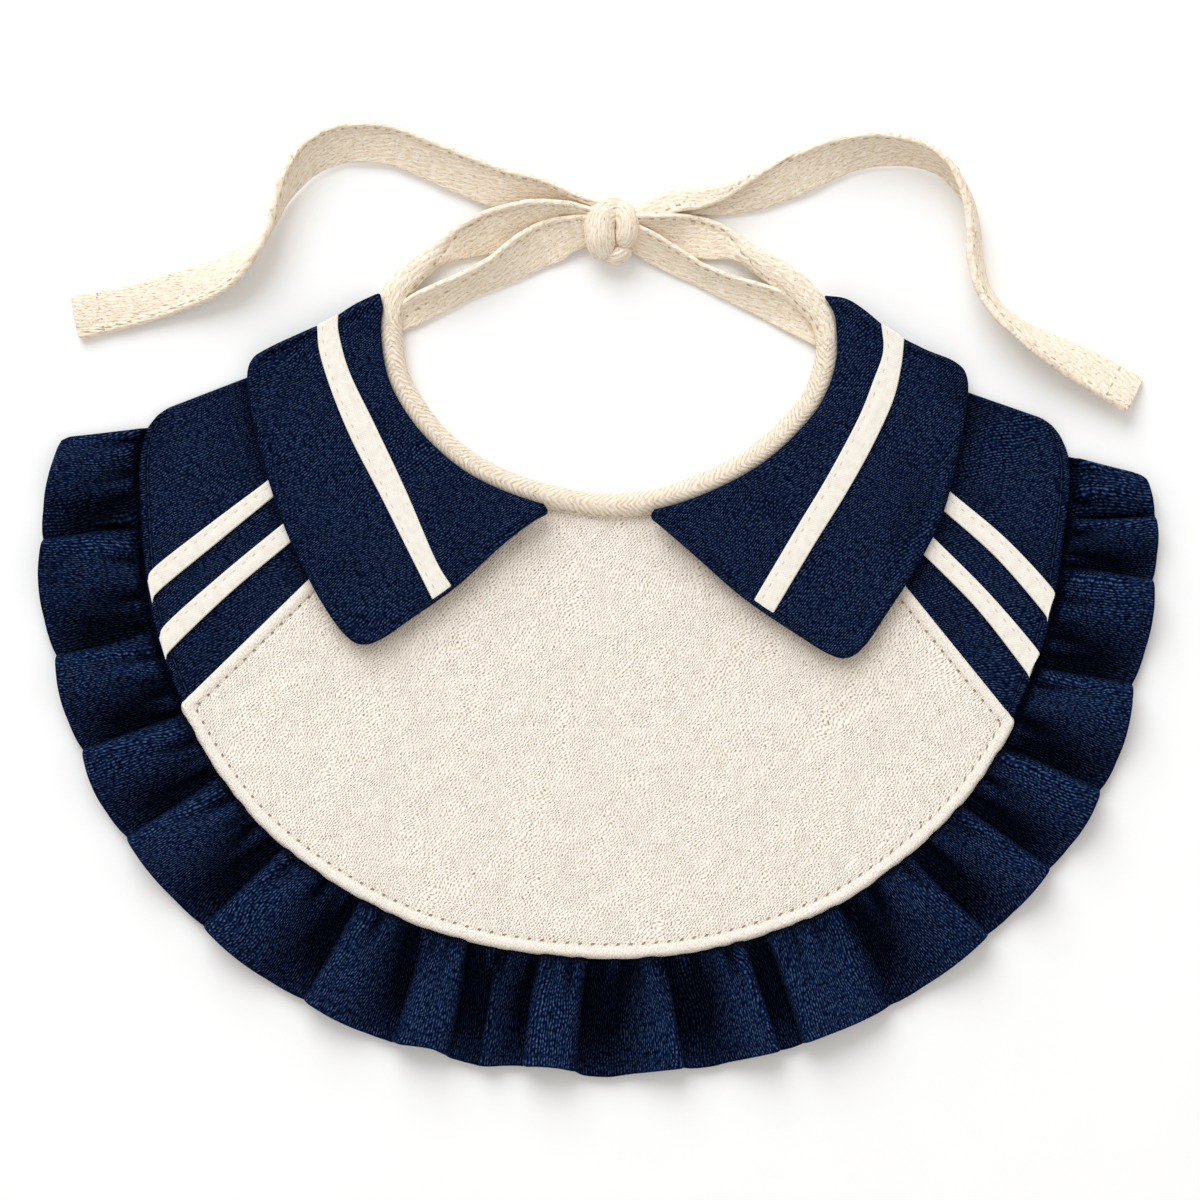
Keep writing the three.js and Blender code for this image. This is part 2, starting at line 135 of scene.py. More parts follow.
def bump(x, centre, width):   # a bell of height 1
    return np.exp(-((x - centre) / width) ** 2)


def rimShade(distance):   # 1 on a cut edge, 0 from half a millimetre inwards
    return np.clip((0.5 - distance) / 0.35, 0, 1)


noSeam = 9.0   # millimetres from a seam, so far that nothing of it shows


# Straight rows of points from one line to another, at the shares v of the way.
def blend(one, other, v):
    return one[:, None] + (other - one)[:, None] * v[None, :, None]


def lifted(flat, height):   # flat points at a height above the table
    return np.concatenate([flat, np.broadcast_to(height, flat.shape[:-1])[..., None]], -1)


# The upper and the lower grid of a cloth, so far above and below its middle one.
def layers(grid, above, below):
    over, under = grid.copy(), grid.copy()
    over[..., 2] += above
    under[..., 2] -= below
    return over, under


# Oval rings across a course and their cloth coordinates: a point lies wide*cos(turn) to the side
# and high*sin(turn) up. The coordinates go round from the top, so that they jump underneath.
def ovalRings(middle, side, lift, turn, wide, high, run, radius):
    rings = (middle[:, None] + side[:, None] * (np.cos(turn) * wide)[..., None]
             + lift[:, None] * (np.sin(turn) * high)[..., None])
    around = (1.5 * np.pi - turn) % (2 * np.pi) - np.pi
    return rings, np.stack(np.broadcast_arrays(run[:, None], around[None] * radius), -1)


# The faces between the rows of a grid of point numbers.
def quads(ids):
    return np.stack([ids[:-1, :-1], ids[1:, :-1], ids[1:, 1:], ids[:-1, 1:]], -1).reshape(-1, 4)


# Puts points and faces into a new object, turned outwards by its signed volume. Points, cloth
# coordinates and marks come in millimetres and are kept in metres.
def makePiece(name, points, faces, material, uv, marks=None):
    points = np.asarray(points, float).reshape(-1, 3) * mm
    faces = np.asarray(faces)
    corners = points[faces]
    fan = [np.einsum("ij,ij->i", corners[:, 0], np.cross(corners[:, k], corners[:, k + 1]))
           for k in range(1, faces.shape[1] - 1)]
    if np.sum(fan) < 0:
        faces = faces[:, ::-1]
    mesh = bpy.data.meshes.new(name)
    mesh.from_pydata(points, [], faces)
    layer = mesh.uv_layers.new(name="cloth")
    loops = np.empty(len(mesh.loops), int)
    mesh.loops.foreach_get("vertex_index", loops)
    layer.uv.foreach_set("vector", (np.asarray(uv).reshape(-1, 2)[loops] * mm).ravel())
    for mark, values in (marks or {}).items():
        layer = mesh.attributes.new(mark, "FLOAT", "POINT")
        layer.data.foreach_set("value", np.asarray(values, float).ravel() * mm)
    mesh.shade_smooth()
    piece = bpy.data.objects.new(name, mesh)
    bpy.context.collection.objects.link(piece)
    mesh.materials.append(material)
    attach(piece, "root")
    return piece


# One closed body from an upper and a lower grid of points, which meet along the rim.
def makeShell(name, over, under, material, uv, marks=None):
    inner = np.zeros(over.shape[:2], bool)
    inner[1:-1, 1:-1] = True
    over = np.where(inner[..., None], over, (over + under) / 2)
    upper = np.arange(inner.size).reshape(inner.shape)
    lower = upper.copy()
    lower[inner] = inner.size + np.arange(inner.sum())
    points = np.vstack([over.reshape(-1, 3), under[inner]])
    faces = np.vstack([quads(upper), quads(lower)[:, ::-1]])

    def both(values):   # for the whole upper grid, then for the lower one's own points
        return np.concatenate([values.reshape(inner.size, -1), values[inner].reshape(inner.sum(), -1)])

    marks = {mark: both(values) for mark, values in (marks or {}).items()}
    return makePiece(name, points, faces, material, both(uv), marks)


# A closed roll along a path: each ring of points stands across the path, and a fan of triangles
# round a middle point closes either end.
def makeRoll(name, rings, material, uv, marks=None):
    count, sides = rings.shape[:2]
    ids = np.arange(count * sides).reshape(count, sides)
    ring = np.hstack([ids, ids[:, :1]])
    faces = quads(ring)
    first, last = ring[0], ring[-1]
    middle = np.full(sides, count * sides)
    triangles = [faces[:, [0, 1, 2]], faces[:, [0, 2, 3]],
                 np.stack([middle, first[1:], first[:-1]], -1),
                 np.stack([last[:-1], last[1:], middle + 1], -1)]
    points = np.vstack([rings.reshape(-1, 3), rings[0].mean(0), rings[-1].mean(0)])
    uv = np.vstack([uv.reshape(-1, 2), uv[0].mean(0), uv[-1].mean(0)])
    return makePiece(name, points, np.vstack(triangles), material, uv, marks)


# Cloth coordinates of flat points, turned by the angle of the grain in degrees.
def grainUv(x, y, grain):
    turn = np.radians(grain)
    return np.stack([x * np.cos(turn) - y * np.sin(turn), x * np.sin(turn) + y * np.cos(turn)], -1)


# An operator of a Wire and its reflected form, which has the Wire on the right.
def between(operation):
    return (lambda one, other: one.math(operation, one, other),
            lambda one, other: one.math(operation, other, one))


def alone(operation):   # what a Wire does by itself
    return lambda one: one.math(operation, one)


# A socket that can stand in an expression; each operator adds one Math node.
class Wire:
    def __init__(self, paint, socket):
        self.paint, self.socket = paint, socket

    def math(self, operation, *values):
        return self.paint.add("ShaderNodeMath", {"operation": operation}, dict(enumerate(values)))

    __add__, __radd__ = between("ADD")
    __sub__, __rsub__ = between("SUBTRACT")
    __mul__, __rmul__ = between("MULTIPLY")
    __truediv__, __rtruediv__ = between("DIVIDE")
    sin, cos, abs, part = (alone(operation) for operation in ("SINE", "COSINE", "ABSOLUTE", "FRACT"))

    def ramp(self, low, high):   # 0 below low, 1 above high, smooth between
        return self.paint.add("ShaderNodeMapRange", {"interpolation_type": "SMOOTHSTEP"},
                              {"Value": self, "From Min": low, "From Max": high})


# One material: its shader, and one method that adds any node.
class Paint:
    def __init__(self, name):
        self.material = bpy.data.materials.new(name)
        self.material.use_nodes = True
        self.tree = self.material.node_tree
        self.shader = self.tree.nodes["Principled BSDF"]

    def add(self, kind, settings=None, values=None, out=0):
        node = self.tree.nodes.new(kind)
        for key, value in (settings or {}).items():
            setattr(node, key, value)
        for key, value in (values or {}).items():
            self.put(node.inputs[key], value)
        return Wire(self, node.outputs[out])

    def put(self, socket, value):
        if isinstance(value, Wire):
            self.tree.links.new(value.socket, socket)
        else:
            socket.default_value = value

    def set(self, **values):
        for key, value in values.items():
            self.put(self.shader.inputs[key.replace("_", " ")], value)

    def mix(self, share, one, other):   # colours
        return self.add("ShaderNodeMix", {"data_type": "RGBA"}, {0: share, 6: one, 7: other}, 2)

    def mark(self, name):   # a number kept on the piece, in metres
        return self.add("ShaderNodeAttribute", {"attribute_name": name}, out=2)

    def share(self, name):   # a mark from 0 to 1
        return self.mark(name) * (1 / mm)

    def seam(self, name):   # distance along a seam and away from it
        return self.mark(name + "Run"), self.mark(name + "Away")

    def cloth(self):   # the piece's own flat cloth coordinates, in metres
        return self.add("ShaderNodeUVMap", {"uv_map": "cloth"})

    def split(self, vector):
        return [self.add("ShaderNodeSeparateXYZ", None, {0: vector}, k) for k in range(3)]

    def join(self, x, y, z=0.0):
        return self.add("ShaderNodeCombineXYZ", None, {0: x, 1: y, 2: z})

    def noise(self, vector, scale, detail=2.0, rough=0.5, out=0):
        return self.add("ShaderNodeTexNoise", None,
                        {"Vector": vector, "Scale": scale, "Detail": detail, "Roughness": rough}, out)

    def bend(self, vector, scale, reach):   # moved by noise, up to half of reach each way
        push = self.add("ShaderNodeVectorMath", {"operation": "SUBTRACT"},
                        {0: self.noise(vector, scale, 2.0, out=1), 1: (0.5, 0.5, 0.5)})
        return self.add("ShaderNodeVectorMath", {"operation": "MULTIPLY_ADD"},
                        {0: push, 1: (reach, reach, 0.0), 2: vector})

    def relief(self, height, depth, strength=1.0):
        return self.add("ShaderNodeBump", None, {"Height": height, "Distance": depth, "Strength": strength})


def colour(red, green, blue):   # screen values 0..255 as scene values
    return tuple(((c / 255 + 0.055) / 1.055) ** 2.4 if c > 10 else c / 255 / 12.92
                 for c in (red, green, blue)) + (1.0,)


# Dashes along a seam, in metres: run is the distance along it, away the distance from its middle.
def dashes(run, away, pitch, gap, width):
    beat = ((run / pitch).part() - 0.5).abs()
    half = 0.5 - 0.5 * gap / pitch
    return (1 - beat.ramp(half - 0.05, half + 0.03)) * (1 - away.abs().ramp(width * 0.5, width))


# Colours, spacing of the crinkle's rows and of the beads in a row, relief, scale and reach of the
# flow, scale and strength of the two drifts, and of the stitches their pitch, gap and width.
# The lighter blue is a painted highlight on the ridge tops. The near black is painted shade in the gaps and
# the stitch groove, and it also tints random darker patches. The black is painted shade in the hollows.
navyLook = {"darkAndShade": colour(0, 3, 17), "body": colour(11, 27, 58), "paintedHighlight": colour(84, 108, 146),
            "thread": colour(40, 57, 90), "shade": (0, 0, 0.0008, 1), "row": 0.6 * mm,
            "bead": 1.0 * mm, "depth": 0.22, "flow": (30, 12 * mm), "drift": (400, 9),
            "uneven": (330, 11), "stitch": (3.3 * mm, 0.6 * mm, 0.3 * mm)}
ruffleLook = dict(navyLook, body=colour(13, 31, 66), paintedHighlight=colour(94, 120, 160), bead=1.25 * mm,
                  row=0.66 * mm)


# Crinkled crepe: ridges in flowing rows, from a sine across them whose phase drifts with a noise,
# beaded by a second sine along them and broken up by smooth Voronoi cells of the same spacing. The
# ridge tops get a painted highlight and the gaps between them painted shade. A cut edge is plain, and
# the stitch groove and the marked hollows are darkened with painted shade.
def navyCrepe(name, look, seam=1.0):
    paint = Paint(name)
    flat = paint.cloth()
    flow = paint.bend(flat, *look["flow"])
    x, y, _ = paint.split(flow)
    drift, uneven = ((paint.noise(flat, scale) - 0.5) * strength
                     for scale, strength in (look["drift"], look["uneven"]))
    rows = (y * (2 * np.pi / look["row"]) + drift).sin() * 0.5 + 0.5
    beads = (x * (2 * np.pi / look["bead"]) + y * (np.pi / look["row"]) + uneven).sin() * 0.5 + 0.5
    drawn = paint.add("ShaderNodeVectorMath", {"operation": "MULTIPLY"},
                      {0: flow, 1: (1 / look["bead"], 1 / look["row"], 1.0)})
    cell = paint.add("ShaderNodeTexVoronoi", {"voronoi_dimensions": "2D", "feature": "SMOOTH_F1"},
                     {"Vector": drawn, "Scale": 1.0, "Smoothness": 0.15, "Randomness": 0.8})
    pebble = 1 - cell.ramp(0.1, 0.8)
    patchy = paint.noise(flat, 700)
    height = (rows * (0.5 + 0.5 * beads) * 0.58 + pebble * 0.42) * (0.6 + 0.8 * patchy)
    rim = paint.share("rim")
    height = height * (1 - rim) + rim * 0.42
    # painted shade: the gaps between the ridges are darkened
    tone = paint.mix(height.ramp(0.08, 0.62), look["darkAndShade"], look["body"])
    # painted highlight on the tops of the ridges
    tone = paint.mix((height - 0.54).ramp(0.0, 0.4) * 0.5, tone, look["paintedHighlight"])
    slow = paint.noise(flat, 42)
    # darker in random patches, towards the same dark colour
    tone = paint.mix((0.5 - slow).ramp(0.0, 0.25) * 0.4, tone, look["darkAndShade"])
    run, away = paint.seam("hem")
    sewn = dashes(run, away, *look["stitch"]) * seam
    groove = (1 - away.abs().ramp(0.3 * mm, 0.8 * mm)) * seam
    # painted shade in the stitch groove
    tone = paint.mix(groove * 0.85, tone, look["darkAndShade"])
    tone = paint.mix(sewn * 0.6, tone, look["thread"])
    relief = paint.relief(height * look["depth"] * (1 - groove) + sewn * 0.25, mm)
    # painted shade where the piece marks a hollow
    tone = paint.mix(paint.share("hollow"), tone, look["shade"])
    paint.set(Base_Color=tone, Roughness=0.42, Normal=relief, Specular_IOR_Level=0.01)
    return paint.material


# Colours, spacing of the pits along and across their rows, slant of the rows in degrees, relief,
# scale and reach of the two bends, pitch, gap and width of the needle holes.
linenLook = {"thread": colour(253, 245, 235), "dip": colour(218, 199, 178), "hole": colour(128, 102, 74),
             "patch": colour(232, 214, 190), "shade": colour(176, 142, 106), "long": 1.02 * mm,
             "wide": 0.72 * mm, "slant": 50, "depth": 0.2, "bends": ((50, 8 * mm), (700, 1.5 * mm)),
             "stitch": (3.3 * mm, 2.5 * mm, 0.34 * mm)}


# Plain weave seen close: pits stand in slanting rows, each row half a pit on from the last. They
# come from 1.7*cos(b) + cos(a + b/2), a along the rows and b across, bent by two noises. The folded
# edge is a band of drawn-out ribs, and needle holes follow the three seams. The stitch grooves and
# the cloth beside the leaves get painted shade.
def creamLinen(name):
    look = linenLook
    paint = Paint(name)
    flat = paint.cloth()
    bent = flat
    for scale, reach in look["bends"]:
        bent = paint.bend(bent, scale, reach)
    x, y, _ = paint.split(bent)
    turn = np.radians(look["slant"])
    a = (x * np.cos(turn) + y * np.sin(turn)) * (2 * np.pi / look["long"])
    b = (x * np.sin(turn) - y * np.cos(turn)) * (2 * np.pi / look["wide"])
    weave = b.cos() * 1.7 + (a + b * 0.5).cos()
    patchy = paint.noise(flat, 300, 3.0)
    pit = weave.ramp(-0.3, 2.3) * (0.15 + 1.3 * patchy)
    deep = (weave + (paint.noise(flat, 800, 1.0) - 0.5) * 3.8).ramp(2.1, 3.1)
    band = paint.share("band")
    tone = paint.mix(pit * (1 - 0.5 * band), look["thread"], look["dip"])
    tone = paint.mix(deep * 0.8 * (1 - band), tone, look["hole"])
    slow = paint.noise(flat, 45)
    tone = paint.mix((slow - 0.5).ramp(0.0, 0.3) * 0.08, tone, look["patch"])
    x, y, _ = paint.split(flat)
    ribs = paint.noise(paint.join((x * 0.9 + y * 0.43) * 2400, (y * 0.9 - x * 0.43) * 620), 1.0)
    tone = paint.mix((0.5 - ribs).ramp(-0.05, 0.2) * 0.3 * band, tone, look["dip"])
    height = pit * -look["depth"] * (1 - 0.7 * band) + band * ribs * 0.4
    for side in ("hem", "left", "right"):
        run, away = paint.seam(side)
        groove = 1 - away.abs().ramp(0.15 * mm, 0.7 * mm)
        needle = dashes(run, away, *look["stitch"])
        # painted shade in the stitch groove
        tone = paint.mix(groove * 0.3, tone, look["dip"])
        tone = paint.mix(needle * 0.8, tone, look["hole"])
        height = height - needle * 0.3
    # warm painted shade on the panel beside the leaves
    tone = paint.mix(paint.share("hollow"), tone, look["shade"])
    paint.set(Base_Color=tone, Roughness=0.9, Normal=paint.relief(height, mm), Specular_IOR_Level=0.15)
    return paint.material


# Colours, width and length of a yarn streak, relief, share of the even ribs and their spacing,
# scale and reach of the bend, pitch, gap and width of the stitches.
twillLook = {"thread": colour(253, 243, 227), "dip": colour(230, 207, 178), "pit": colour(168, 138, 104),
             "wide": 0.36 * mm, "long": 2.3 * mm, "depth": 0.19, "rib": 0.12, "ribPitch": 1.15 * mm,
             "bend": (260, 1.6 * mm), "stitch": (2.9 * mm, 1.6 * mm, 0.3 * mm)}
bindingLook = dict(twillLook, thread=colour(246, 234, 217), dip=colour(214, 193, 168), rib=0.24)


# Twill tape: yarn streaks from noise drawn out along a line that leans from the tape's run by
# `lean` degrees, to both sides of the middle where it is a herringbone; a few dark pits stand
# between the streaks and stitches follow the seams named.
def creamTwill(name, look, lean=11, chevron=False, seams=("hem", "end")):
    paint = Paint(name)
    flat = paint.cloth()
    run, across, _ = paint.split(paint.bend(flat, *look["bend"]))
    if chevron:
        across = across.abs()
    turn = np.radians(lean)
    side = across * np.cos(turn) - run * np.sin(turn)
    way = run * np.cos(turn) + across * np.sin(turn)
    streak = paint.noise(paint.join(side / look["wide"], way / look["long"]), 1.0, 2.0, 0.6)
    ribs = (side * (2 * np.pi / look["ribPitch"])).sin() * 0.5 + 0.5
    pits = paint.noise(paint.join(side / (0.75 * look["wide"]), way / (0.5 * look["long"]), 7.0), 1.0, 1.0)
    pit = pits.ramp(0.62, 0.74)
    height = streak * (1 - look["rib"]) + ribs * look["rib"]
    tone = paint.mix(height.ramp(0.27, 0.68), look["dip"], look["thread"])
    tone = paint.mix(pit * 0.4, tone, look["pit"])
    raised = height - 0.8 * pit
    for seam in seams:
        uneven = paint.noise(flat, 500, 1.0)
        sewn = dashes(*paint.seam(seam), *look["stitch"]) * uneven.ramp(0.38, 0.55)
        tone = paint.mix(sewn * 0.6, tone, look["pit"])
        raised = raised - 1.2 * sewn
    relief = paint.relief(raised * look["depth"], mm)
    paint.set(Base_Color=tone, Roughness=0.9, Normal=relief, Specular_IOR_Level=0.15)
    return paint.material


# Colours, radians of weave in a metre, strength of the stitches along both edges, and their pitch,
# gap and width.
stripeLook = {"thread": colour(244, 239, 230), "dip": colour(231, 222, 209), "weave": 9500.0,
              "rows": {"hem": 0.45, "end": 0.22}, "stitch": (3.3 * mm, 2.2 * mm, 0.24 * mm)}


# Flat stripe tape: a very fine weave under a soft mottle.
def creamStripe(name):
    look = stripeLook
    paint = Paint(name)
    flat = paint.cloth()
    run, across, _ = paint.split(flat)
    weave = ((run * look["weave"]).sin() * (across * look["weave"]).sin()) * 0.5 + 0.5
    mottle = paint.noise(flat, 500, 3.0)
    height = 0.4 * weave + mottle
    tone = paint.mix(height.ramp(0.35, 0.95), look["dip"], look["thread"])
    for side, strength in look["rows"].items():
        sewn = dashes(*paint.seam(side), *look["stitch"])
        tone = paint.mix(sewn * strength, tone, twillLook["pit"])
    paint.set(Base_Color=tone, Roughness=0.8, Normal=paint.relief(height, 0.05 * mm),
              Specular_IOR_Level=0.25, Sheen_Weight=0.1, Sheen_Roughness=0.6)
    return paint.material


navyCloth = navyCrepe("navy crepe", navyLook)
ruffleCloth = navyCrepe("navy crepe, ruffle", ruffleLook, seam=0.35)
linenCloth = creamLinen("cream linen")
tieCloth = creamTwill("twill tape", twillLook)
bindingCloth = creamTwill("herringbone binding", bindingLook, lean=48, chevron=True, seams=("hem",))
knotCloth = creamTwill("pleated tape", twillLook, lean=7, seams=())
stripeCloth = creamStripe("stripe tape")
print("cloths mixed")

# The camera looks straight down from above the photo's centre. Lengths in metres, power in watts.
studio = {"lens": 100, "sensor": 36, "above": 0.867, "centre": (0.0, 0.00936),
          "keyAt": (-0.75, 2.2, 1.8), "keySize": 2.4, "keyPower": 67.0, "keyTint": (0.97, 1.01, 1.055),
          "fillAt": (0.9, -1.2, 2.6), "fillSize": 2.0, "fillPower": 4.0, "fillTint": (1, 1, 1),
          "sky": 0.65, "skyTint": (1.0, 0.968, 0.93, 1)}

camera = bpy.data.objects.new("camera", bpy.data.cameras.new("camera"))
camera.data.lens, camera.data.sensor_width = studio["lens"], studio["sensor"]
camera.location = (*studio["centre"], studio["above"])
camera.data.clip_start, camera.data.clip_end = 0.05, 20
bpy.context.collection.objects.link(camera)
scene = bpy.context.scene
scene.camera = camera
scene.view_settings.view_transform = "Standard"
scene.view_settings.look = "None"


# A round lamp that faces the origin.
def addLight(name, place, size, power, tint):
    lamp = bpy.data.lights.new(name, "AREA")
    lamp.shape, lamp.size, lamp.energy, lamp.color = "DISK", size, power, tint
    light = bpy.data.objects.new(name, lamp)
    light.location = place
    aim = -np.array(place) / np.linalg.norm(place)
    light.rotation_euler = (np.arccos(-aim[2]), 0, np.arctan2(-aim[0], aim[1]))
    bpy.context.collection.objects.link(light)


addLight("key light", studio["keyAt"], studio["keySize"], studio["keyPower"], studio["keyTint"])
addLight("fill light", studio["fillAt"], studio["fillSize"], studio["fillPower"], studio["fillTint"])
world = bpy.data.worlds.new("studio")
world.use_nodes = True
world.node_tree.nodes["Background"].inputs["Color"].default_value = studio["skyTint"]
world.node_tree.nodes["Background"].inputs["Strength"].default_value = studio["sky"]
scene.world = world

floorPaint = Paint("white floor")
grain = floorPaint.noise(floorPaint.add("ShaderNodeTexCoord", None, None, 3), 40, 2.0)
pale = floorPaint.mix(grain, (0.95, 0.95, 0.95, 1), (0.97, 0.97, 0.97, 1))
floorPaint.set(Base_Color=pale, Roughness=0.9, Specular_IOR_Level=0.1)
floorMesh = bpy.data.meshes.new("floor")
floorMesh.from_pydata([(-3, -3, 0), (3, -3, 0), (3, 3, 0), (-3, 3, 0)], [], [(0, 1, 2, 3)])
floor = bpy.data.objects.new("floor", floorMesh)
floorMesh.materials.append(floorPaint.material)
bpy.context.collection.objects.link(floor)

# Neck ties and tails. Columns of rows: x, y, tilt in degrees (left edge up is positive), width,
# thickness and lift off the table, which are 1 and 0 where they are left out; the upper neck ties are
# rolled where they leave the binding. reach: how far the cloth goes on into the knot or binding at
# its start and end. sewn: where the sewn edge runs, as share of the length and place across from -1
# right to 1 left. folded: how much of the edge is folded over, as distance along the tape and width.
# curl: how much a tape bows where it stands on edge.
ties = {
    "neck_tie_left_upper": {"reach": (0, 3), "curl": 0.6, "rows": [
        (-54.1, 78.5, 2, 5.4, 5, 0.3), (-54.3, 83.5, 6, 6.4, 5.6, 0.2), (-53.2, 88.2, 12, 7, 5.2, 0.3),
        (-50.6, 91.8, 12, 6.9, 4.8, 0.3), (-46.8, 95.3, 14, 6.2, 4.4, 0.2),
        (-42.6, 98.6, 20, 6, 3.4, 0.1), (-38, 101, 26, 8.2, 2, 0), (-33.4, 103, 30, 10.7, 1.2, 0),
        (-28, 105, 24, 12), (-17.5, 108.2, 38, 11.6, 1, 0.4), (-9, 109.3, 50, 9, 1.6, 1),
        (-3.6, 108.4, 54, 6.8, 2.2, 2.6)],
        "sewn": [(0, -0.8), (0.23, -0.8), (0.32, -0.6), (0.4, 0), (0.48, 0.7), (1, 0.7)]},
    "neck_tie_left_lower": {"reach": (2.6, 3), "curl": 0.6, "rows": [
        (-51.4, 82.6, 16, 6, 1.2, 0.6), (-47, 85.2, 30, 8.6, 1, 0.2), (-40.6, 88.2, 40, 9.2),
        (-31.7, 92.4, 43, 9.4), (-25.7, 95.3, 40, 10.4), (-18.7, 99.6, 29, 12),
        (-12, 102.7, 20, 11.8, 1, 0.2), (-7.5, 104.3, 26, 10, 1.8, 1), (-3.6, 105, 32, 8.4, 2.4, 2)],
        "sewn": [(0, -0.1), (0.2, 0), (0.5, 0.7), (1, 0.7)]},
    "neck_tie_right_upper": {"reach": (3, 0), "curl": 0.6, "rows": [
        (11.6, 106.3, 48, 6.6, 2.2, 2.5), (15.5, 105.7, 36, 8.4, 1.4, 1.6), (20.5, 104.7, 18, 10, 1, 0.8),
        (25.5, 103.5, 6, 10.8, 1, 0.5), (30.5, 102.3, 10, 9.7, 1.2, 0.4),
        (34.4, 100.9, 20, 7.4, 2.6, 0.4), (38.2, 98.9, 16, 6, 4.2, 0.7), (42.8, 96, 12, 6.8, 4.6, 0.9),
        (47.5, 92.7, 12, 7.5, 4.8, 0.9), (51.2, 89.6, 12, 7.7, 4.8, 0.8), (54.6, 86.2, 10, 7.4, 5, 0.6),
        (57.7, 82.2, 8, 6.8, 5.4, 0.4), (59, 77.6, 4, 6.1, 5.6, 0.2), (59, 73.2, 2, 5.2, 5, 0.3)],
        "sewn": [(0, 0.7), (0.36, 0.7), (0.45, 0), (0.54, -0.65), (1, -0.65)]},
    "neck_tie_right_lower": {"reach": (3, 2.4), "curl": 0.6, "rows": [
        (10.6, 102.4, 38, 8, 2, 1.6), (13, 101, 36, 8.8, 1.4, 0.8), (18.2, 98.1, 36, 8.2, 1, 0.2),
        (26, 93.9, 37, 7.2), (33.8, 90.4, 36, 7.8), (40.8, 87.7, 30, 9), (46.8, 85, 20, 9.4),
        (51.6, 81.9, 12, 8, 1, 0.2), (55.6, 79.2, 10, 6, 1, 0.6)],
        "sewn": [(0, 0.7), (1, 0.7)]},
    "tie_tail_left": {"reach": (3, 0), "curl": 1.8, "rows": [
        (-2.4, 110.4, -50, 6.6, 2, 2.6), (-8, 112.2, -48, 8.4, 1.4, 0.8), (-15.5, 114.3, -38, 10.6),
        (-26, 116.2, -27, 11.4), (-36, 120, -27, 11.2), (-45.5, 124, -29, 11), (-54.5, 127.4, -28, 11),
        (-63, 128, -28, 11), (-68.5, 127.2, -33, 11.2), (-74.7, 124, -44, 11), (-79.1, 118.7, -60, 10.4),
        (-82.2, 112.4, -76, 9.8), (-84.8, 106.2, -94, 9.4), (-88.6, 101.2, -112, 9.6),
        (-93, 97.4, -132, 10.2), (-99.2, 93.3, -152, 11), (-110, 89.2, -168, 11), (-124.5, 85, -177, 11),
        (-136.4, 82.6, -179, 11.8)],
        "sewn": [(0, -0.75), (1, -0.75)]},
    "tie_tail_right": {"reach": (3, 0), "curl": 1.8, "rows": [
        (10.9, 107.9, 12, 9.6, 1, 1.7), (17.2, 111.2, 4, 13, 1, 0.6), (26, 112.1, 8, 12.7, 1, 0.3),
        (32, 112.6, 20, 12.4), (36.5, 113.6, 24, 12.2), (41.3, 115, 26, 12), (49.7, 118.7, 25, 11.6),
        (57.8, 122.8, 30, 11.4), (66, 125.4, 40, 11.2), (74.3, 126.2, 49, 11), (82.8, 125, 59, 10.6),
        (87.4, 122.9, 68, 10), (91.2, 119.9, 79, 9.4), (94.2, 115.4, 91, 9), (96.2, 110.4, 103, 9.2),
        (97.2, 104.7, 112, 9.6), (97.8, 97.4, 115, 9.8), (99.5, 90.4, 113, 10), (103.1, 84.9, 114, 10.4),
        (107.8, 80.9, 118, 11), (113.6, 76.5, 128, 11.6), (123.6, 71, 146, 11.8),
        (138.8, 62.3, 158, 11.4)],
        "sewn": [(0, 0.75), (1, 0.75)],
        "folded": [(0, 5.8), (3, 6.6), (10, 8), (19, 7), (25, 5.4), (31, 3.8), (37, 2.2), (43, 1),
                   (50, 0)]},
}
tape = {"bead": 0.95, "beadWide": 2.2, "seamDip": 0.18, "cup": 0.5, "foldRadius": 0.9, "fullArc": 3.2,
        "foldTurn": 2.85, "hem": 7.4, "hemRise": 0.3, "hemDip": 0.22, "corner": 1.3, "clear": 0.05,
        "count": 200, "across": 26}


# Where the points of a tape's section lie along its long axis and above it, when part of the width
# is folded over: flat, then round a small arc, then back. A narrow fold has a smaller arc.
def foldedSection(s, width, folded):
    keep = (width - folded)[:, None]
    across = (s + 1) / 2 * width[:, None]
    beyond = np.maximum(across - keep, 0)
    radius = tape["foldRadius"] * np.clip(folded / tape["fullArc"], 0.2, 1)[:, None]
    bend = np.minimum(beyond / radius, tape["foldTurn"])
    rest = beyond - bend * radius
    along = np.minimum(across, keep) - keep / 2 + radius * np.sin(bend) + rest * np.cos(bend)
    return along, radius * (1 - np.cos(bend)) + rest * np.sin(bend)


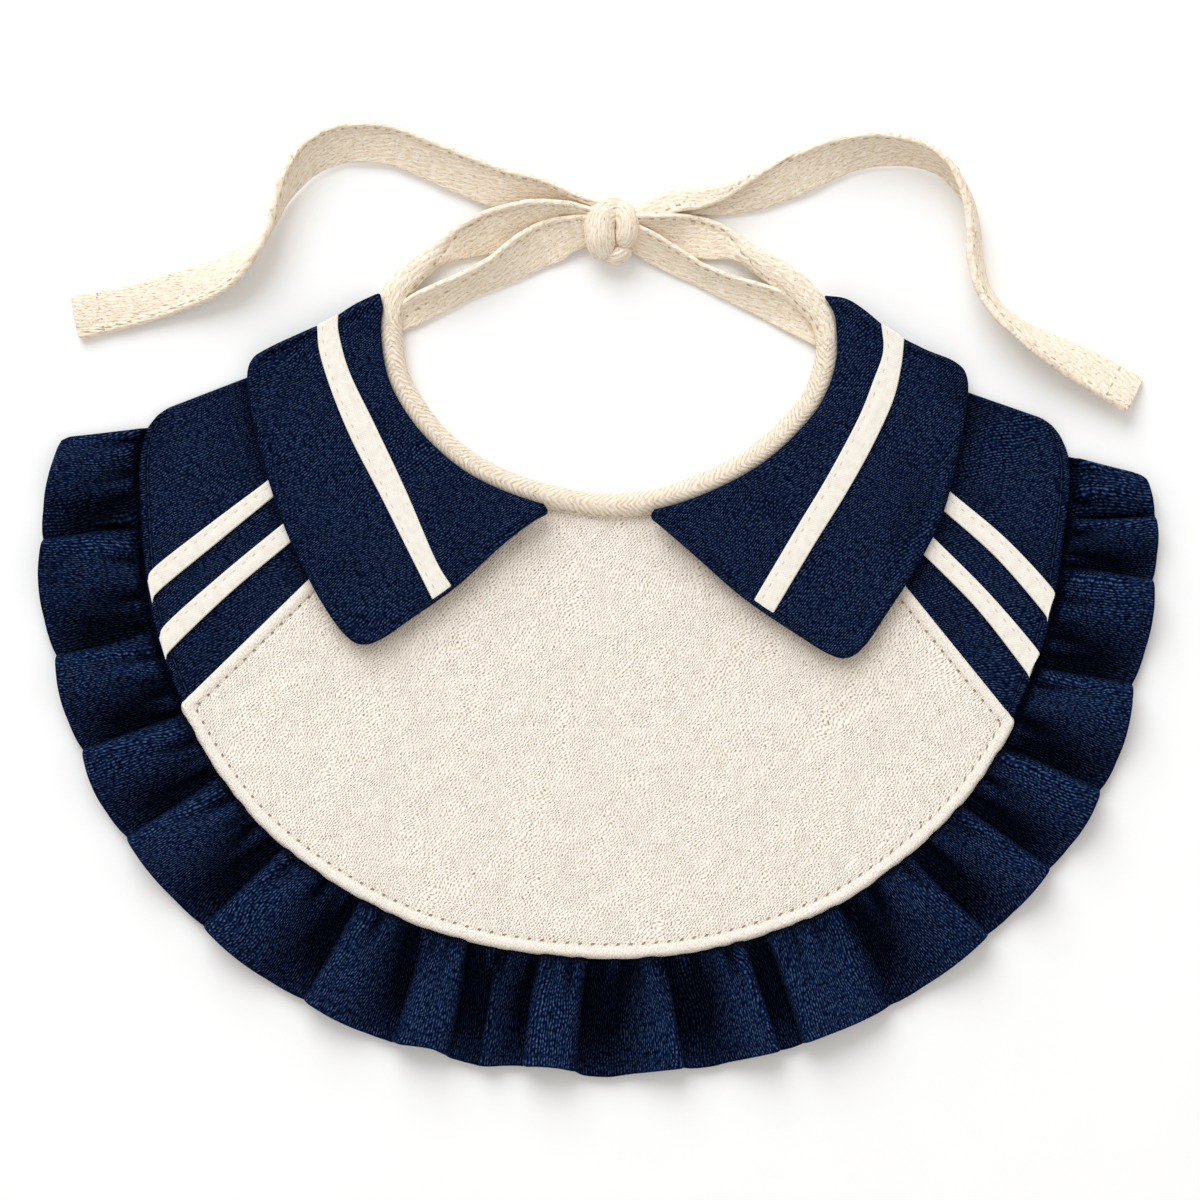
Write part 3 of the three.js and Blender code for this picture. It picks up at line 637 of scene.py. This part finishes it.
# A tape: across each point of its course stands a thin section whose long axis is tilted. Where it
# is thin it is a flat tape with a bead along the sewn edge, where it is thick an oval roll; its
# middle bows by cup*(s*s - 0.4), more where it stands on edge, and a tail ends in a thicker hem.
def makeTape(name, tie):
    tail = name.startswith("tie_tail")
    rows = np.array([row + (1, 0)[len(row) - 4:] for row in tie["rows"]], float)
    for row, second, reach in zip((0, -1), (1, -2), tie["reach"]):
        way = rows[row, :2] - rows[second, :2]
        rows[row, :2] += way / np.linalg.norm(way) * reach
    course, lay = Line(rows[:, [0, 1, 5]]), Line(rows[:, [2, 3, 4]])
    part = rimShares(tape["count"], course.length, 0.8)
    place = course.share(part)
    tilt, width, thick = np.moveaxis(lay.at(place), -1, 0)
    turn = np.radians(tilt)
    way = course.way(part) * (1, 1, 0)
    way /= np.linalg.norm(way, axis=1, keepdims=True)
    side = np.stack([-way[:, 1] * np.cos(turn), way[:, 0] * np.cos(turn), np.sin(turn)], -1)
    folded = np.interp(part * course.length, *np.transpose(tie.get("folded", [(0, 0), (1, 0)])))
    s = 2 * rimShares(tape["across"], 12, 0.9)[None] - 1
    along, above = foldedSection(s, width, folded)
    middle = course.at(place)
    middle[:, 2] += (tape["clear"] + np.abs(side[:, 2]) * (width - folded) / 2
                     + thick / 2 * np.abs(np.cos(turn)))
    grid = (middle[:, None] + side[:, None] * along[..., None]
            + np.cross(way, side)[:, None] * above[..., None])
    if tail:
        for atOuter in (False, True):
            grid = roundCorner(grid, True, atOuter, tape["corner"])
    start, end, first, last = sideDistances(grid)
    toEnd = np.minimum(start, end)
    sewn = np.interp(part, *np.transpose(tie["sewn"]))[:, None]
    fromSeam = (s - sewn) * width[:, None] / 2
    outside = first if name == "tie_tail_left" else last
    bead = np.sqrt(np.clip(1 - (outside / (tape["beadWide"] / 2) - 1) ** 2, 0, 1))
    bead = bead * (1 - 0.8 * np.clip(folded / 2, 0, 1))[:, None]
    flat = 0.5 + tape["bead"] / 2 * bead - tape["seamDip"] * bump(fromSeam, 0, 0.4)
    if tail:
        hem = np.clip((tape["hem"] - end) / 0.7, 0, 1)
        flat = flat + tape["hemRise"] * hem - tape["hemDip"] * bump(end, tape["hem"] - 0.5, 0.4)
    oval = thick[:, None] / 2 * np.sqrt(np.maximum(1 - s ** 2, 0))
    oval = oval + 0.12 * wave(3 * s + start / 9, 1.7, 4) - 0.25 * bump(fromSeam, 0, 0.5)
    rolled = np.clip((thick[:, None] - 1) / 2.6, 0, 1)
    rim = rounded(np.minimum(first, last), 0.6) * rounded(toEnd, 0.5)
    half = flat * rim * (1 - rolled) + oval * rounded(toEnd, 1.2) * rolled
    onEdge = (np.sin(turn) * np.abs(np.sin(turn)) ** 6 * width / 10)[:, None]
    cup = (tape["cup"] + tie["curl"] * onEdge) * (s ** 2 - 0.4) * (1 - rolled)
    cup = cup * np.clip(1 - folded / 3, 0, 1)[:, None] + 0.18 * wave(start, 19, 3) * s
    face = normals(grid)
    over, under = (grid + face * (cup + way)[..., None] for way in (half, -half))
    sunk = min(over[..., 2].min(), under[..., 2].min(), 0)
    over[..., 2] -= sunk
    under[..., 2] -= sunk
    uv = np.stack([start, first - width[:, None] / 2], -1)
    fromHem = end - tape["hem"] + 0.5 if tail else np.full(end.shape, noSeam)
    piece = makeShell(name + "_cloth", over, under, tieCloth, uv,
                      {"hemRun": start, "hemAway": fromSeam, "endRun": first, "endAway": fromHem})
    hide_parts(name)
    return piece, middle * mm


for name, tie in ties.items():
    piece, middle = makeTape(name, tie)
print("ties laid")

# Outer seam and neck line of the bib, both from the left shoulder's back end round the front.
bibEdge = Line([
    (-115.5, 58), (-119.3, 49), (-119.3, 30), (-116.5, 5), (-109, -16.5), (-93.5, -42), (-78, -57),
    (-54, -71.5), (-30, -79.5), (0, -83), (23, -81.5), (43.5, -76.5), (62.5, -68.5), (83, -53.5),
    (95.5, -40.5), (107, -22.5), (116, 0), (120.5, 24), (122, 45), (118, 55.5)], even=True)
neckLine = Line([
    (-53, 87.5), (-54.3, 80), (-52.7, 68), (-48.5, 59.5), (-42, 51.5), (-32.8, 44), (-21, 38.5),
    (-8, 35), (5, 33.8), (18, 36), (31, 41), (41, 46.8), (49.5, 54.3), (55.5, 62), (58.8, 72),
    (58.5, 84)], even=True)

# The collar leaves come before the bib, which gets painted shade beside their outline. free: how
# far the lower edge stands off; oval: middle and half axes of the rise round the neck; grain in degrees.
leaf = {"thick": 2.2, "middle": 4.9, "rise": 1.6, "fade": 12, "free": 1.5, "sway": 0.35,
        "roll": 0.75, "groove": 0.45, "oval": (2.5, 84, 59.5, 53.5), "counts": (220, 76),
        "grain": {"left": -36, "right": -40}}
# Columns: share of the neck line that the row starts from, x and y where it meets the outer edge.
leafRows = {
    "left": [
        (0.020, -56.8, 88.8), (0.035, -63, 86), (0.055, -69.5, 82), (0.075, -78, 78.2), (0.095, -86, 74.5),
        (0.115, -90, 71.7), (0.130, -91.3, 67), (0.150, -90.5, 59), (0.185, -87.3, 45.5),
        (0.220, -82.5, 30.5), (0.250, -77, 18), (0.280, -70.5, 6.5), (0.300, -65.5, 0),
        (0.315, -61.5, -2.2), (0.330, -56.5, -0.8), (0.350, -49, 4.3), (0.370, -37, 12.8),
        (0.388, -25.5, 23.2), (0.402, -17.5, 29.3), (0.414, -12.8, 31.8)],
    "right": [
        (0.995, 57.6, 88), (0.975, 63.5, 87.2), (0.955, 68.5, 84.2), (0.935, 75.5, 78.7),
        (0.915, 84, 74.3), (0.895, 91.5, 71.2), (0.877, 94.8, 67.5), (0.860, 95, 60),
        (0.830, 92.5, 46), (0.795, 88.5, 31), (0.765, 82, 18), (0.735, 74.5, 6.5),
        (0.715, 68.5, -2.3), (0.700, 64, -5.6), (0.685, 59, -4.6), (0.665, 51, 0.3),
        (0.640, 37, 9.8), (0.610, 24.5, 20.7), (0.588, 16.5, 27.6), (0.575, 12.5, 30.8)],
}

# For each part its stretch of the neck line, as shares, and of the outer seam, in millimetres.
bib = {"thick": 2.2, "roll": 3.5, "panel": (0.242, 0.798, 77.8, 342.7),
       "left": (0.04, 0.247, 0, 78.7), "right": (0.793, 0.95, 341.8, bibEdge.length),
       "panelInset": 3.9, "navyInset": 2.7, "pitch": 3.3, "edgeRoll": 0.3, "dip": 0.28,
       "pucker": 0.06, "grain": {"left": -25, "right": -15}}


# Distance of each grid point from the outer edge of a leaf, the least over points along it.
def fromLeaf(side, flat):
    edge = Line([(x, y) for _, x, y in leafRows[side]]).at(np.linspace(0, 1, 150))
    return np.min(np.linalg.norm(flat[..., None, :] - edge, axis=-1), axis=-1)


# One part of the bib: the straight blend from the neck line to the outer seam. Its edge is a soft
# roll, the cloth dips along the stitches and puckers a little between them. Painted shade darkens it
# beside the leaves' outline and, on a shoulder, along the hem.
def makeBibPart(name, key, material, inset, counts, raised, outer, seams, corners, grain=0):
    neckFrom, neckTo, edgeFrom, edgeTo = bib[key]
    u = rimShares(counts[0], edgeTo - edgeFrom, 1.3)
    v = rimShares(counts[1], 90, 1.3)
    inner = beside(neckLine, neckFrom + (neckTo - neckFrom) * u, bib["roll"] - 1.5)
    rim = beside(bibEdge, (edgeFrom + (edgeTo - edgeFrom) * u) / bibEdge.length, outer)
    flat = blend(inner, rim, v)
    for atEnd, radius in corners.items():
        flat = roundCorner(flat, atEnd, True, radius)
    middle = bib["thick"] / 2
    grid = lifted(flat, middle)
    start, end, neck, hem = sideDistances(grid)
    sides = {"hem": (start, hem), "left": (neck, start), "right": (neck, end)}
    nearest = np.minimum.reduce([start, end, hem])
    toRim = np.minimum(nearest, neck)
    top = middle + raised + bib["edgeRoll"] * bump(nearest, inset * 0.5, inset * 0.32)
    marks = {"band": np.clip((inset - nearest) / 0.5, 0, 1), "rim": rimShade(toRim)}
    # painted shade beside the leaves' edges, and on a shoulder along its hem
    if key in leafRows:
        marks["hollow"] = 0.75 * np.exp(-fromLeaf(key, flat) / 3.2) + 0.5 * np.exp(-hem / 0.7)
    else:
        marks["hollow"] = 0.3 * np.exp(-np.minimum(fromLeaf("left", flat), fromLeaf("right", flat)) / 3)
    for side, (run, away) in sides.items():
        keep = np.full(hem.shape, side in seams)
        for other in seams:
            if other != side:
                keep &= sides[other][1] > inset - 0.4
        marks[side + "Run"] = run
        marks[side + "Away"] = np.where(keep, away - inset, noSeam)
        if side in seams:
            beat = np.cos(2 * np.pi * run / bib["pitch"])
            top -= np.where(keep, (bib["dip"] + bib["pucker"] * beat) * bump(away, inset, 0.55), 0)
            top += 0.05 * beat * bump(away, inset + 1.2, 0.9)
    x, y = flat[..., 0], flat[..., 1]
    waves = 0.12 * wave(x + 0.6 * y, 46, 5) + 0.10 * wave(y - 0.4 * x, 33, 6)
    top += waves * np.clip((nearest - inset) / 8, 0, 1)
    close = rounded(toRim, 1.3)
    over, under = layers(grid, top * close, (middle - 0.02) * close)
    piece = makeShell(name, over, under, material, grainUv(x, y, grain), marks)
    return piece


panel = makeBibPart("panel_cloth", "panel", linenCloth, bib["panelInset"], (300, 100),
                    0.45, 0.9, ("hem", "left", "right"), {False: 2.2, True: 2.2})
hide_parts("bib_panel")
for side, grain in bib["grain"].items():
    shoulder = makeBibPart(f"shoulder_{side}_cloth", side, navyCloth, bib["navyInset"],
                           (110, 80), 0, 0, ("hem", side), {side == "right": 4.5}, grain)
    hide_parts(f"shoulder_{side}")
print("bib laid")


# Height of a leaf's middle: its flat height and a rise that dies out away from the neck's oval.
def leafMiddle(x, y):
    cx, cy, wide, deep = leaf["oval"]
    away = np.maximum(0, np.hypot((x - cx) / wide, (y - cy) / deep) - 1) * (wide + deep) / 2
    return leaf["middle"] + leaf["rise"] * np.exp(-away / leaf["fade"])


# A leaf: straight rows from the neck line to its outer edge. It waves a little, its lower part
# stands off, and its double edge is a soft roll with a groove beside it.
def makeLeaf(side):
    rows = leafRows[side]
    necks = Line([(neck * 100, 0) for neck, _, _ in rows])
    edge = Line([(x, y) for _, x, y in rows])
    u = rimShares(leaf["counts"][0], edge.length, 1.4)
    v = rimShares(leaf["counts"][1], 45, 1.4)
    place = edge.share(u)
    inner = beside(neckLine, necks.at(place)[:, 0] / 100, 2.2)
    outer = edge.at(place)
    flat = roundCorner(roundCorner(blend(inner, outer, v), False, True, 0.9), True, True, 1.6)
    x, y = flat[..., 0], flat[..., 1]
    grid = lifted(flat, leafMiddle(x, y))
    start, end, neck, hem = sideDistances(grid)
    nearest = np.minimum.reduce([start, end, hem])
    toRim = np.minimum(nearest, neck)
    half = leaf["thick"] / 2
    lift = leaf["sway"] * wave(start, 52, 11) * np.exp(-hem / 14)
    lift = lift + 0.12 * wave(x - y, 24, 12) * np.clip(hem / 8, 0, 1)
    lower = np.clip((u - 0.42) / 0.2, 0, 1)[:, None]
    lift = lift + leaf["free"] * np.exp(-hem / 11) * lower * lower * (3 - 2 * lower)
    roll = leaf["roll"] * bump(nearest, 1.7, 1.2) - leaf["groove"] * bump(nearest, 4.0, 1.2)
    edgeStep = np.interp(nearest, [0, 0.15, 0.45, 0.7, 0.95, 1.5, 2.1], [0, 0.35, 0.52, 0.5, 0.66, 0.93, 1])
    close = np.minimum(edgeStep, rounded(neck, 1.3))
    over, under = layers(grid, lift + (half * 1.1 + roll) * close, half * rounded(toRim, 1.0) - lift)
    piece = makeShell(f"collar_leaf_{side}_cloth", over, under, navyCloth,
                      grainUv(x, y, leaf["grain"][side]),
                      {"hemRun": start, "hemAway": np.full(hem.shape, noSeam), "rim": rimShade(toRim)})
    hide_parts(f"collar_leaf_{side}")


for side in ("left", "right"):
    makeLeaf(side)
print("leaves laid")

# Stripes. inset and otherInset: how far in the two rows of stitches run, the second one shifted by
# half a stitch. onLeaf and onBib: height of a stripe's bed above the leaf's middle and above the
# bib's thickness. Columns: x and y of the left side, x and y of the right side.
stripe = {"thick": 0.8, "gap": 0.3, "crown": 0.1, "dip": 0.12, "inset": 1.7, "otherInset": 1.1,
          "shift": 1.6, "onLeaf": 1.25, "onBib": 0.05}
leafStripes = {
    "left": [
        (-73, 80.2, -67.5, 83.2), (-72.3, 73, -67.3, 78), (-69, 62.5, -64.5, 68), (-64, 50.5, -58, 54.5),
        (-57, 37, -50, 37.5), (-50, 23, -42.5, 20), (-43, 9, -38, 12.5)],
    "right": [
        (72.5, 80.8, 78.5, 77), (73, 73.5, 77.7, 69.5), (70.5, 66, 75.5, 60.5), (66.5, 56, 70, 48.5),
        (58.5, 41, 63, 36), (51, 28.5, 55.5, 24), (39.3, 8.7, 44.3, 5.2)],
}
shoulderStripes = {
    "left_upper": [(-80.5, 45.2, -79.5, 40.2), (-85.7, 40.7, -84.8, 36), (-101, 29.2, -99.5, 24),
                   (-115.3, 18, -114, 12), (-117.3, 14.3, -116.1, 8.5)],
    "left_lower": [(-76, 34.2, -75, 29), (-81.5, 29.7, -80, 24.5), (-97, 17, -95.5, 11.5),
                   (-112, 3.7, -110.5, -2.8), (-114.3, -0.5, -112.6, -6.2)],
    "right_upper": [(86, 42, 84.5, 37.3), (90.5, 37.7, 88.5, 33), (105, 25.5, 102.5, 20.5),
                    (117, 12.7, 114.5, 6.7), (117.3, 10, 116, 3.7)],
    "right_lower": [(81.5, 30.5, 79.5, 25.8), (86, 26, 83.5, 21.5), (100.5, 11.5, 97.5, 7.3),
                    (113, -3, 109.5, -8), (113.3, -5.2, 111.3, -10.8)],
}


# A stripe: the straight blend between its two sides, crowned a little and round at its edges.
def makeStripe(name, rows, height, count):
    one = Line([(a, b) for a, b, _, _ in rows])
    other = Line([(c, d) for _, _, c, d in rows])
    t = rimShares(count, one.length, 0.5)
    s = rimShares(8, 5.7, 0.5)
    place = one.share(t)
    a, b = one.at(place), other.at(place)
    flat = blend(a, b, s)
    half = stripe["thick"] / 2
    grid = lifted(flat, height(flat[..., 0], flat[..., 1]) + stripe["gap"] + half)
    start, end, first, last = sideDistances(grid)
    close = rounded(np.minimum.reduce([start, end, first, last]), 0.45)
    crown = stripe["crown"] * np.sin(np.pi * s)[None] - stripe["dip"] * bump(first, stripe["inset"], 0.4)
    over, under = layers(grid, (half + crown) * close, half * close)
    piece = makeShell(name + "_cloth", over, under, stripeCloth, np.stack([start, first], -1),
                      {"hemRun": start, "hemAway": first - stripe["inset"],
                       "endRun": start + stripe["shift"], "endAway": last - stripe["otherInset"]})
    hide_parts(name)


for side, rows in leafStripes.items():
    makeStripe(f"leaf_stripe_{side}", rows, lambda x, y: leafMiddle(x, y) + stripe["onLeaf"], 200)
for place, rows in shoulderStripes.items():
    makeStripe(f"shoulder_stripe_{place}", rows, lambda x, y: bib["thick"] + stripe["onBib"], 90)
print("stripes sewn")

# Neck binding. ridgeAt: angle of the crease, in degrees from the outer side over the top; seamAt:
# angle of the stitches outwards from the top, in radians, and seamRadius makes it a distance.
binding = {"width": 6.2, "height": 5.8, "taper": 7, "uneven": 0.03, "ridge": 0.05, "ridgeAt": 150,
           "seamAt": 1.05, "seamRadius": 3.0, "count": 340, "sides": 40}


# A rolled tape: an oval ring across each point of the neck line, a little uneven along it, closed
# in at both ends and creased along its inner side.
def makeBinding():
    part = rimShares(binding["count"], neckLine.length, 1.2)
    way = neckLine.way(part)
    out = np.stack([way[:, 1], -way[:, 0], np.zeros(len(part))], -1)
    up = np.array([[0, 0, 1.0]])
    run = part * neckLine.length
    middle = lifted(neckLine.along(part), binding["height"] / 2 + 0.1)
    turn = 2 * np.pi * np.arange(binding["sides"]) / binding["sides"]
    ends = rounded(np.minimum(run, neckLine.length - run) + 0.05, binding["taper"])
    swell = ends * (1 + binding["uneven"] * wave(run, 21, 21))
    half = swell[:, None] * (1 - binding["ridge"] * bump(np.degrees(turn), binding["ridgeAt"], 9)) / 2
    rings, uv = ovalRings(middle, out, up, turn, half * binding["width"], half * binding["height"],
                          run, binding["width"] / 2)
    fromSeam = (uv[..., 1] * 2 / binding["width"] - binding["seamAt"]) * binding["seamRadius"]
    marks = {"hemRun": np.append(uv[..., 0], [0, 0]), "hemAway": np.append(fromSeam, [noSeam, noSeam])}
    piece = makeRoll("neck_binding_cloth", rings, bindingCloth, uv, marks)
    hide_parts("neck_binding")


makeBinding()
print("binding rolled")

# Knot: two turns side by side, a lower tuck and a core. Columns of rows: x, y and height of a
# turn's middle; wide and high are its half axes.
knot = {"rings": 110, "sides": 56, "pleat": 0.1, "pleats": 12}
wraps = [
    {"rows": [(5.6, 110.9, 4.2), (3, 110.6, 5.8), (0.8, 108.8, 6.8), (-0.1, 106, 7), (0, 103, 6.8),
              (0.5, 100.4, 5.6), (1.5, 98.4, 3.6)], "wide": 4.0, "high": 3.3, "twist": 0.6},
    {"rows": [(3.4, 110.4, 4.4), (5.6, 109.6, 6), (6.9, 107.4, 6.9), (7.1, 105, 6.8), (6.4, 102.8, 6),
              (5, 101.4, 4.8)], "wide": 3.1, "high": 3.2, "twist": -0.5},
    {"rows": [(1.6, 98.2, 3), (4.6, 98.6, 4.2), (7.8, 100.8, 4)], "wide": 2.2, "high": 2.8, "twist": 0.3},
    {"rows": [(-3.6, 104.6, 4.2), (3.3, 104.4, 3.6), (9.6, 105, 4)], "wide": 4.6, "high": 3.1, "twist": 0},
]


# One turn of the knot: an oval ring across each point of its course, pleated lengthwise by a
# cosine round the ring that drifts along the course, and closed at both ends.
def makeWrap(name, rows, wide, high, twist):
    line = Line(rows, even=True)
    part = rimShares(knot["rings"], line.length, 1.0)
    at, way = line.along(part), line.way(part)
    across = np.cross(way, [0, 0, 1.0])
    across /= np.linalg.norm(across, axis=1, keepdims=True)
    lift = np.cross(across, way)
    turn = 2 * np.pi * np.arange(knot["sides"]) / knot["sides"]
    swell = np.sqrt(np.maximum(0.0, 1 - np.abs(2 * part - 1) ** 4)) * 0.96 + 0.02
    drift = twist * 6 * part[:, None]
    fold = np.cos(knot["pleats"] * turn[None] + drift + 1.6 * np.sin(2 * turn[None] + 3 * part[:, None]))
    pleats = 1 + knot["pleat"] / wide * (1 - 2 * np.exp(-2.5 * (1 + fold)))
    size = pleats * swell[:, None]
    rings, uv = ovalRings(at, across, lift, turn, size * wide, size * high, part * line.length, wide)
    piece = makeRoll(name, rings, knotCloth, uv)
    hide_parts("knot")


for k, wrap in enumerate(wraps):
    makeWrap(f"knot_turn_{k + 1}", **wrap)
print("knot tied")

# Ruffle. seamShare: how much of a fold's rise is left at the seam; drawIn: how far a fold draws
# the hem in, for each millimetre of rise; inside: how far it reaches under the bib; gather and
# fineGather: height of the small gathers at the seam and of the finer ones on them.
ruffle = {"thick": 1.0, "seamShare": 0.2, "drawIn": 0.06, "inside": 1.3, "gather": 1.5,
          "fineGather": 0.3, "hemLift": 2.2, "hemAt": 3.0, "corner": 3.0, "perKnot": 5, "across": 40}
# Columns: place on the outer seam, x and y at the hem, rise, shape up to the next row, swell.
folds = [
    (3.5, -140, 51.5, 5, "start", 1), (31, -144.5, 24.5, 7, "facesBack", 1.7),
    (60, -141, -5.5, 7, "facesBack", 1.3), (81.5, -134, -30, 7.5, "facesBack", 1.4),
    (100.5, -122.5, -52.5, 7.5, "facesBack", 0.7), (125, -102.5, -75.5, 7.5, "facesBack", 1),
    (149, -76.5, -94.5, 7, "facesBack", 0.7), (168, -53, -105.5, 7.5, "ridge", -1.3),
    (178, -39.5, -109, 0.4, "hollow", 0), (185.5, -31, -111.5, 4, "facesBack", 0),
    (196.5, -19.5, -111.5, 7.5, "ridge", -0.5), (208, -6.5, -113, 0.4, "hollow", 0),
    (214, 0, -114.5, 6, "facesOn", 0), (228.5, 21.5, -112, 0.4, "hollow", 0),
    (235, 27, -112, 7, "facesOn", 0), (249, 46.5, -107.5, 0.4, "hollow", 0),
    (257, 53, -105.5, 7.5, "ridge", 0), (277, 75, -96, 7, "facesOn", 0.8),
    (296.5, 100.5, -77.5, 7, "facesOn", 0.4), (316, 116.5, -60.5, 7.5, "facesOn", 0.8),
    (335, 129.5, -40.5, 7.5, "facesOn", 1.7), (356.5, 138, -13, 7.5, "facesOn", 1.5),
    (384.5, 143.3, 14, 6.5, "facesOn", 0.6), (395.5, 144, 30.5, 4.5, "finish", 0),
    (414, 142, 41.5, 0, "end", 0)]
# Share of the way to the next row at the hem, the same at the seam, share of the fold's rise.
shapes = {
    "start": [(0, 0, 0.2), (0.08, 0.1, 0.45), (0.25, 0.25, 0.9), (0.38, 0.4, 1), (0.55, 0.5, 0.8),
              (0.75, 0.65, 0.3), (0.9, 0.8, 0.06)],
    "facesBack": [(-0.02, -0.06, 0.03), (0, 0, 0.55), (0.03, 0.08, 0.94), (0.1, 0.2, 1),
                  (0.28, 0.36, 0.88), (0.5, 0.52, 0.56), (0.72, 0.68, 0.2), (0.88, 0.8, 0.03)],
    "ridge": [(-0.05, -0.12, 0.04), (0, 0, 0.6), (0.08, 0.12, 0.96), (0.25, 0.3, 1), (0.6, 0.55, 0.92),
              (0.86, 0.82, 0.76), (0.98, 0.97, 0.42), (1.05, 1.12, 0.04)],
    "hollow": [(0.5, 0.5, 0.5)],
    "finish": [(0.15, 0.2, 0.7), (0.45, 0.45, 1), (0.75, 0.7, 0.8), (0.92, 0.9, 0.5), (1, 1, 0.3)],
    "end": [],
}
shapes["facesOn"] = [(1 - hem, 1 - seam, share) for hem, seam, share in shapes["facesBack"][::-1]]


# The ruffle: each row of the table is a line from the seam to the hem; between the rows of its
# shape the lift and both ends are blended smoothly, and small gathers die out from the seam. The
# hollows between the folds, the gathers' low places and the strip under the bib's edge are marked
# with painted shade.
def makeRuffle():
    hemLine = Line([(x, y) for _, x, y, *_ in folds])
    seamLine = Line([(seam, 0) for seam, *_ in folds])
    last = len(folds) - 1
    knots = []
    for row, (seam, x, y, rise, shape, swell) in enumerate(folds):
        for atHem, atSeam, share in shapes[shape]:
            place = hemLine.at(np.array((row + atHem) / last))
            knots.append((*place, seamLine.at(np.array((row + atSeam) / last))[0],
                          rise * share, swell * np.sin(np.pi * atHem)))
    lines = Line(knots)
    count = (len(knots) - 1) * ruffle["perKnot"]
    t = np.linspace(0, 1, count + 1)
    hemX, hemY, seam, lift, swell = np.moveaxis(lines.at(t), -1, 0)
    lift = np.maximum(lift, 0)
    seam = np.maximum.accumulate(seam)
    inner = beside(bibEdge, seam / bibEdge.length, -ruffle["inside"])
    outer = np.stack([hemX, hemY], -1)
    way = (outer - inner) / np.linalg.norm(outer - inner, axis=1, keepdims=True)
    outer = outer + way * (swell - ruffle["drawIn"] * lift)[:, None]
    v = rimShares(ruffle["across"], 28, 0.5)
    flat = blend(inner, outer, v)
    for atEnd in (False, True):
        flat = roundCorner(flat, atEnd, True, ruffle["corner"])
    climb = ruffle["seamShare"] + (1 - ruffle["seamShare"]) * v ** 0.7
    away = v[None] * np.linalg.norm(outer - inner, axis=1, keepdims=True) - ruffle["inside"]
    risen = np.clip((away + 0.2) / 2.6, 0, 1)
    risen = risen * risen * (3 - 2 * risen)
    near = risen * np.exp(-(np.maximum(away - 2.5, 0) / 7) ** 1.5)   # near the seam
    high = lift[:, None] * climb[None] * (0.12 + 0.88 * risen)
    gather = (ruffle["gather"] * np.tanh(2.2 * wave(seam, 8.2, 31, 2))
              + ruffle["fineGather"] * wave(seam, 3.9, 32, 2))[:, None]
    high = high + (gather + 0.6) * near
    raised = np.maximum(high, ruffle["hemLift"] * v[None] ** 3)
    grid = lifted(flat, ruffle["thick"] / 2 + 0.05 + raised)
    start, end, first, hem = sideDistances(grid)
    face = normals(grid)
    face *= np.sign(face[..., 2].mean())
    toEnd = np.minimum(start, end)
    toRim = np.minimum.reduce([toEnd, first, hem])
    half = ruffle["thick"] / 2 + 0.18 * bump(hem, 1.2, 1.0) - 0.12 * bump(hem, ruffle["hemAt"], 0.5)
    half = (half * rounded(toRim, 0.5))[..., None]
    over, under = grid + face * half, grid - face * half
    under[..., 2] = np.maximum(under[..., 2], 0.02)
    along = np.concatenate([[0], np.cumsum(np.linalg.norm(np.diff(grid[:, -8], axis=0), axis=1))])
    uv = np.stack(np.broadcast_arrays(first, along[:, None]), -1)
    ends = np.clip(toEnd / 12, 0, 1)
    full = 6.3 * climb[None] * risen + 2.2 * near + 0.4
    # painted shade: dark low in the folds, less towards the hem and the ends, in the gathers' low places
    # and under the bib's edge
    paintedShade = np.clip(1.08 - 1.15 * high / full, 0, 1) * (1.1 - 0.65 * v[None] ** 3) * ends
    paintedShade = np.maximum(paintedShade, 0.85 * np.clip(-gather / 1.3, 0, 1) * near)
    paintedShade = np.maximum(paintedShade, 0.97 * bump(away, 0.8, 1.9))
    piece = makeShell("ruffle_cloth", over, under, ruffleCloth, uv,
                      {"hemRun": np.broadcast_to(along[:, None], hem.shape),
                       "hemAway": hem - ruffle["hemAt"],
                       "hollow": np.clip(paintedShade, 0, 0.9), "rim": rimShade(toRim)})
    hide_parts("ruffle")
    print("ruffle length at the hem", round(along[-1], 1), "mm")


makeRuffle()
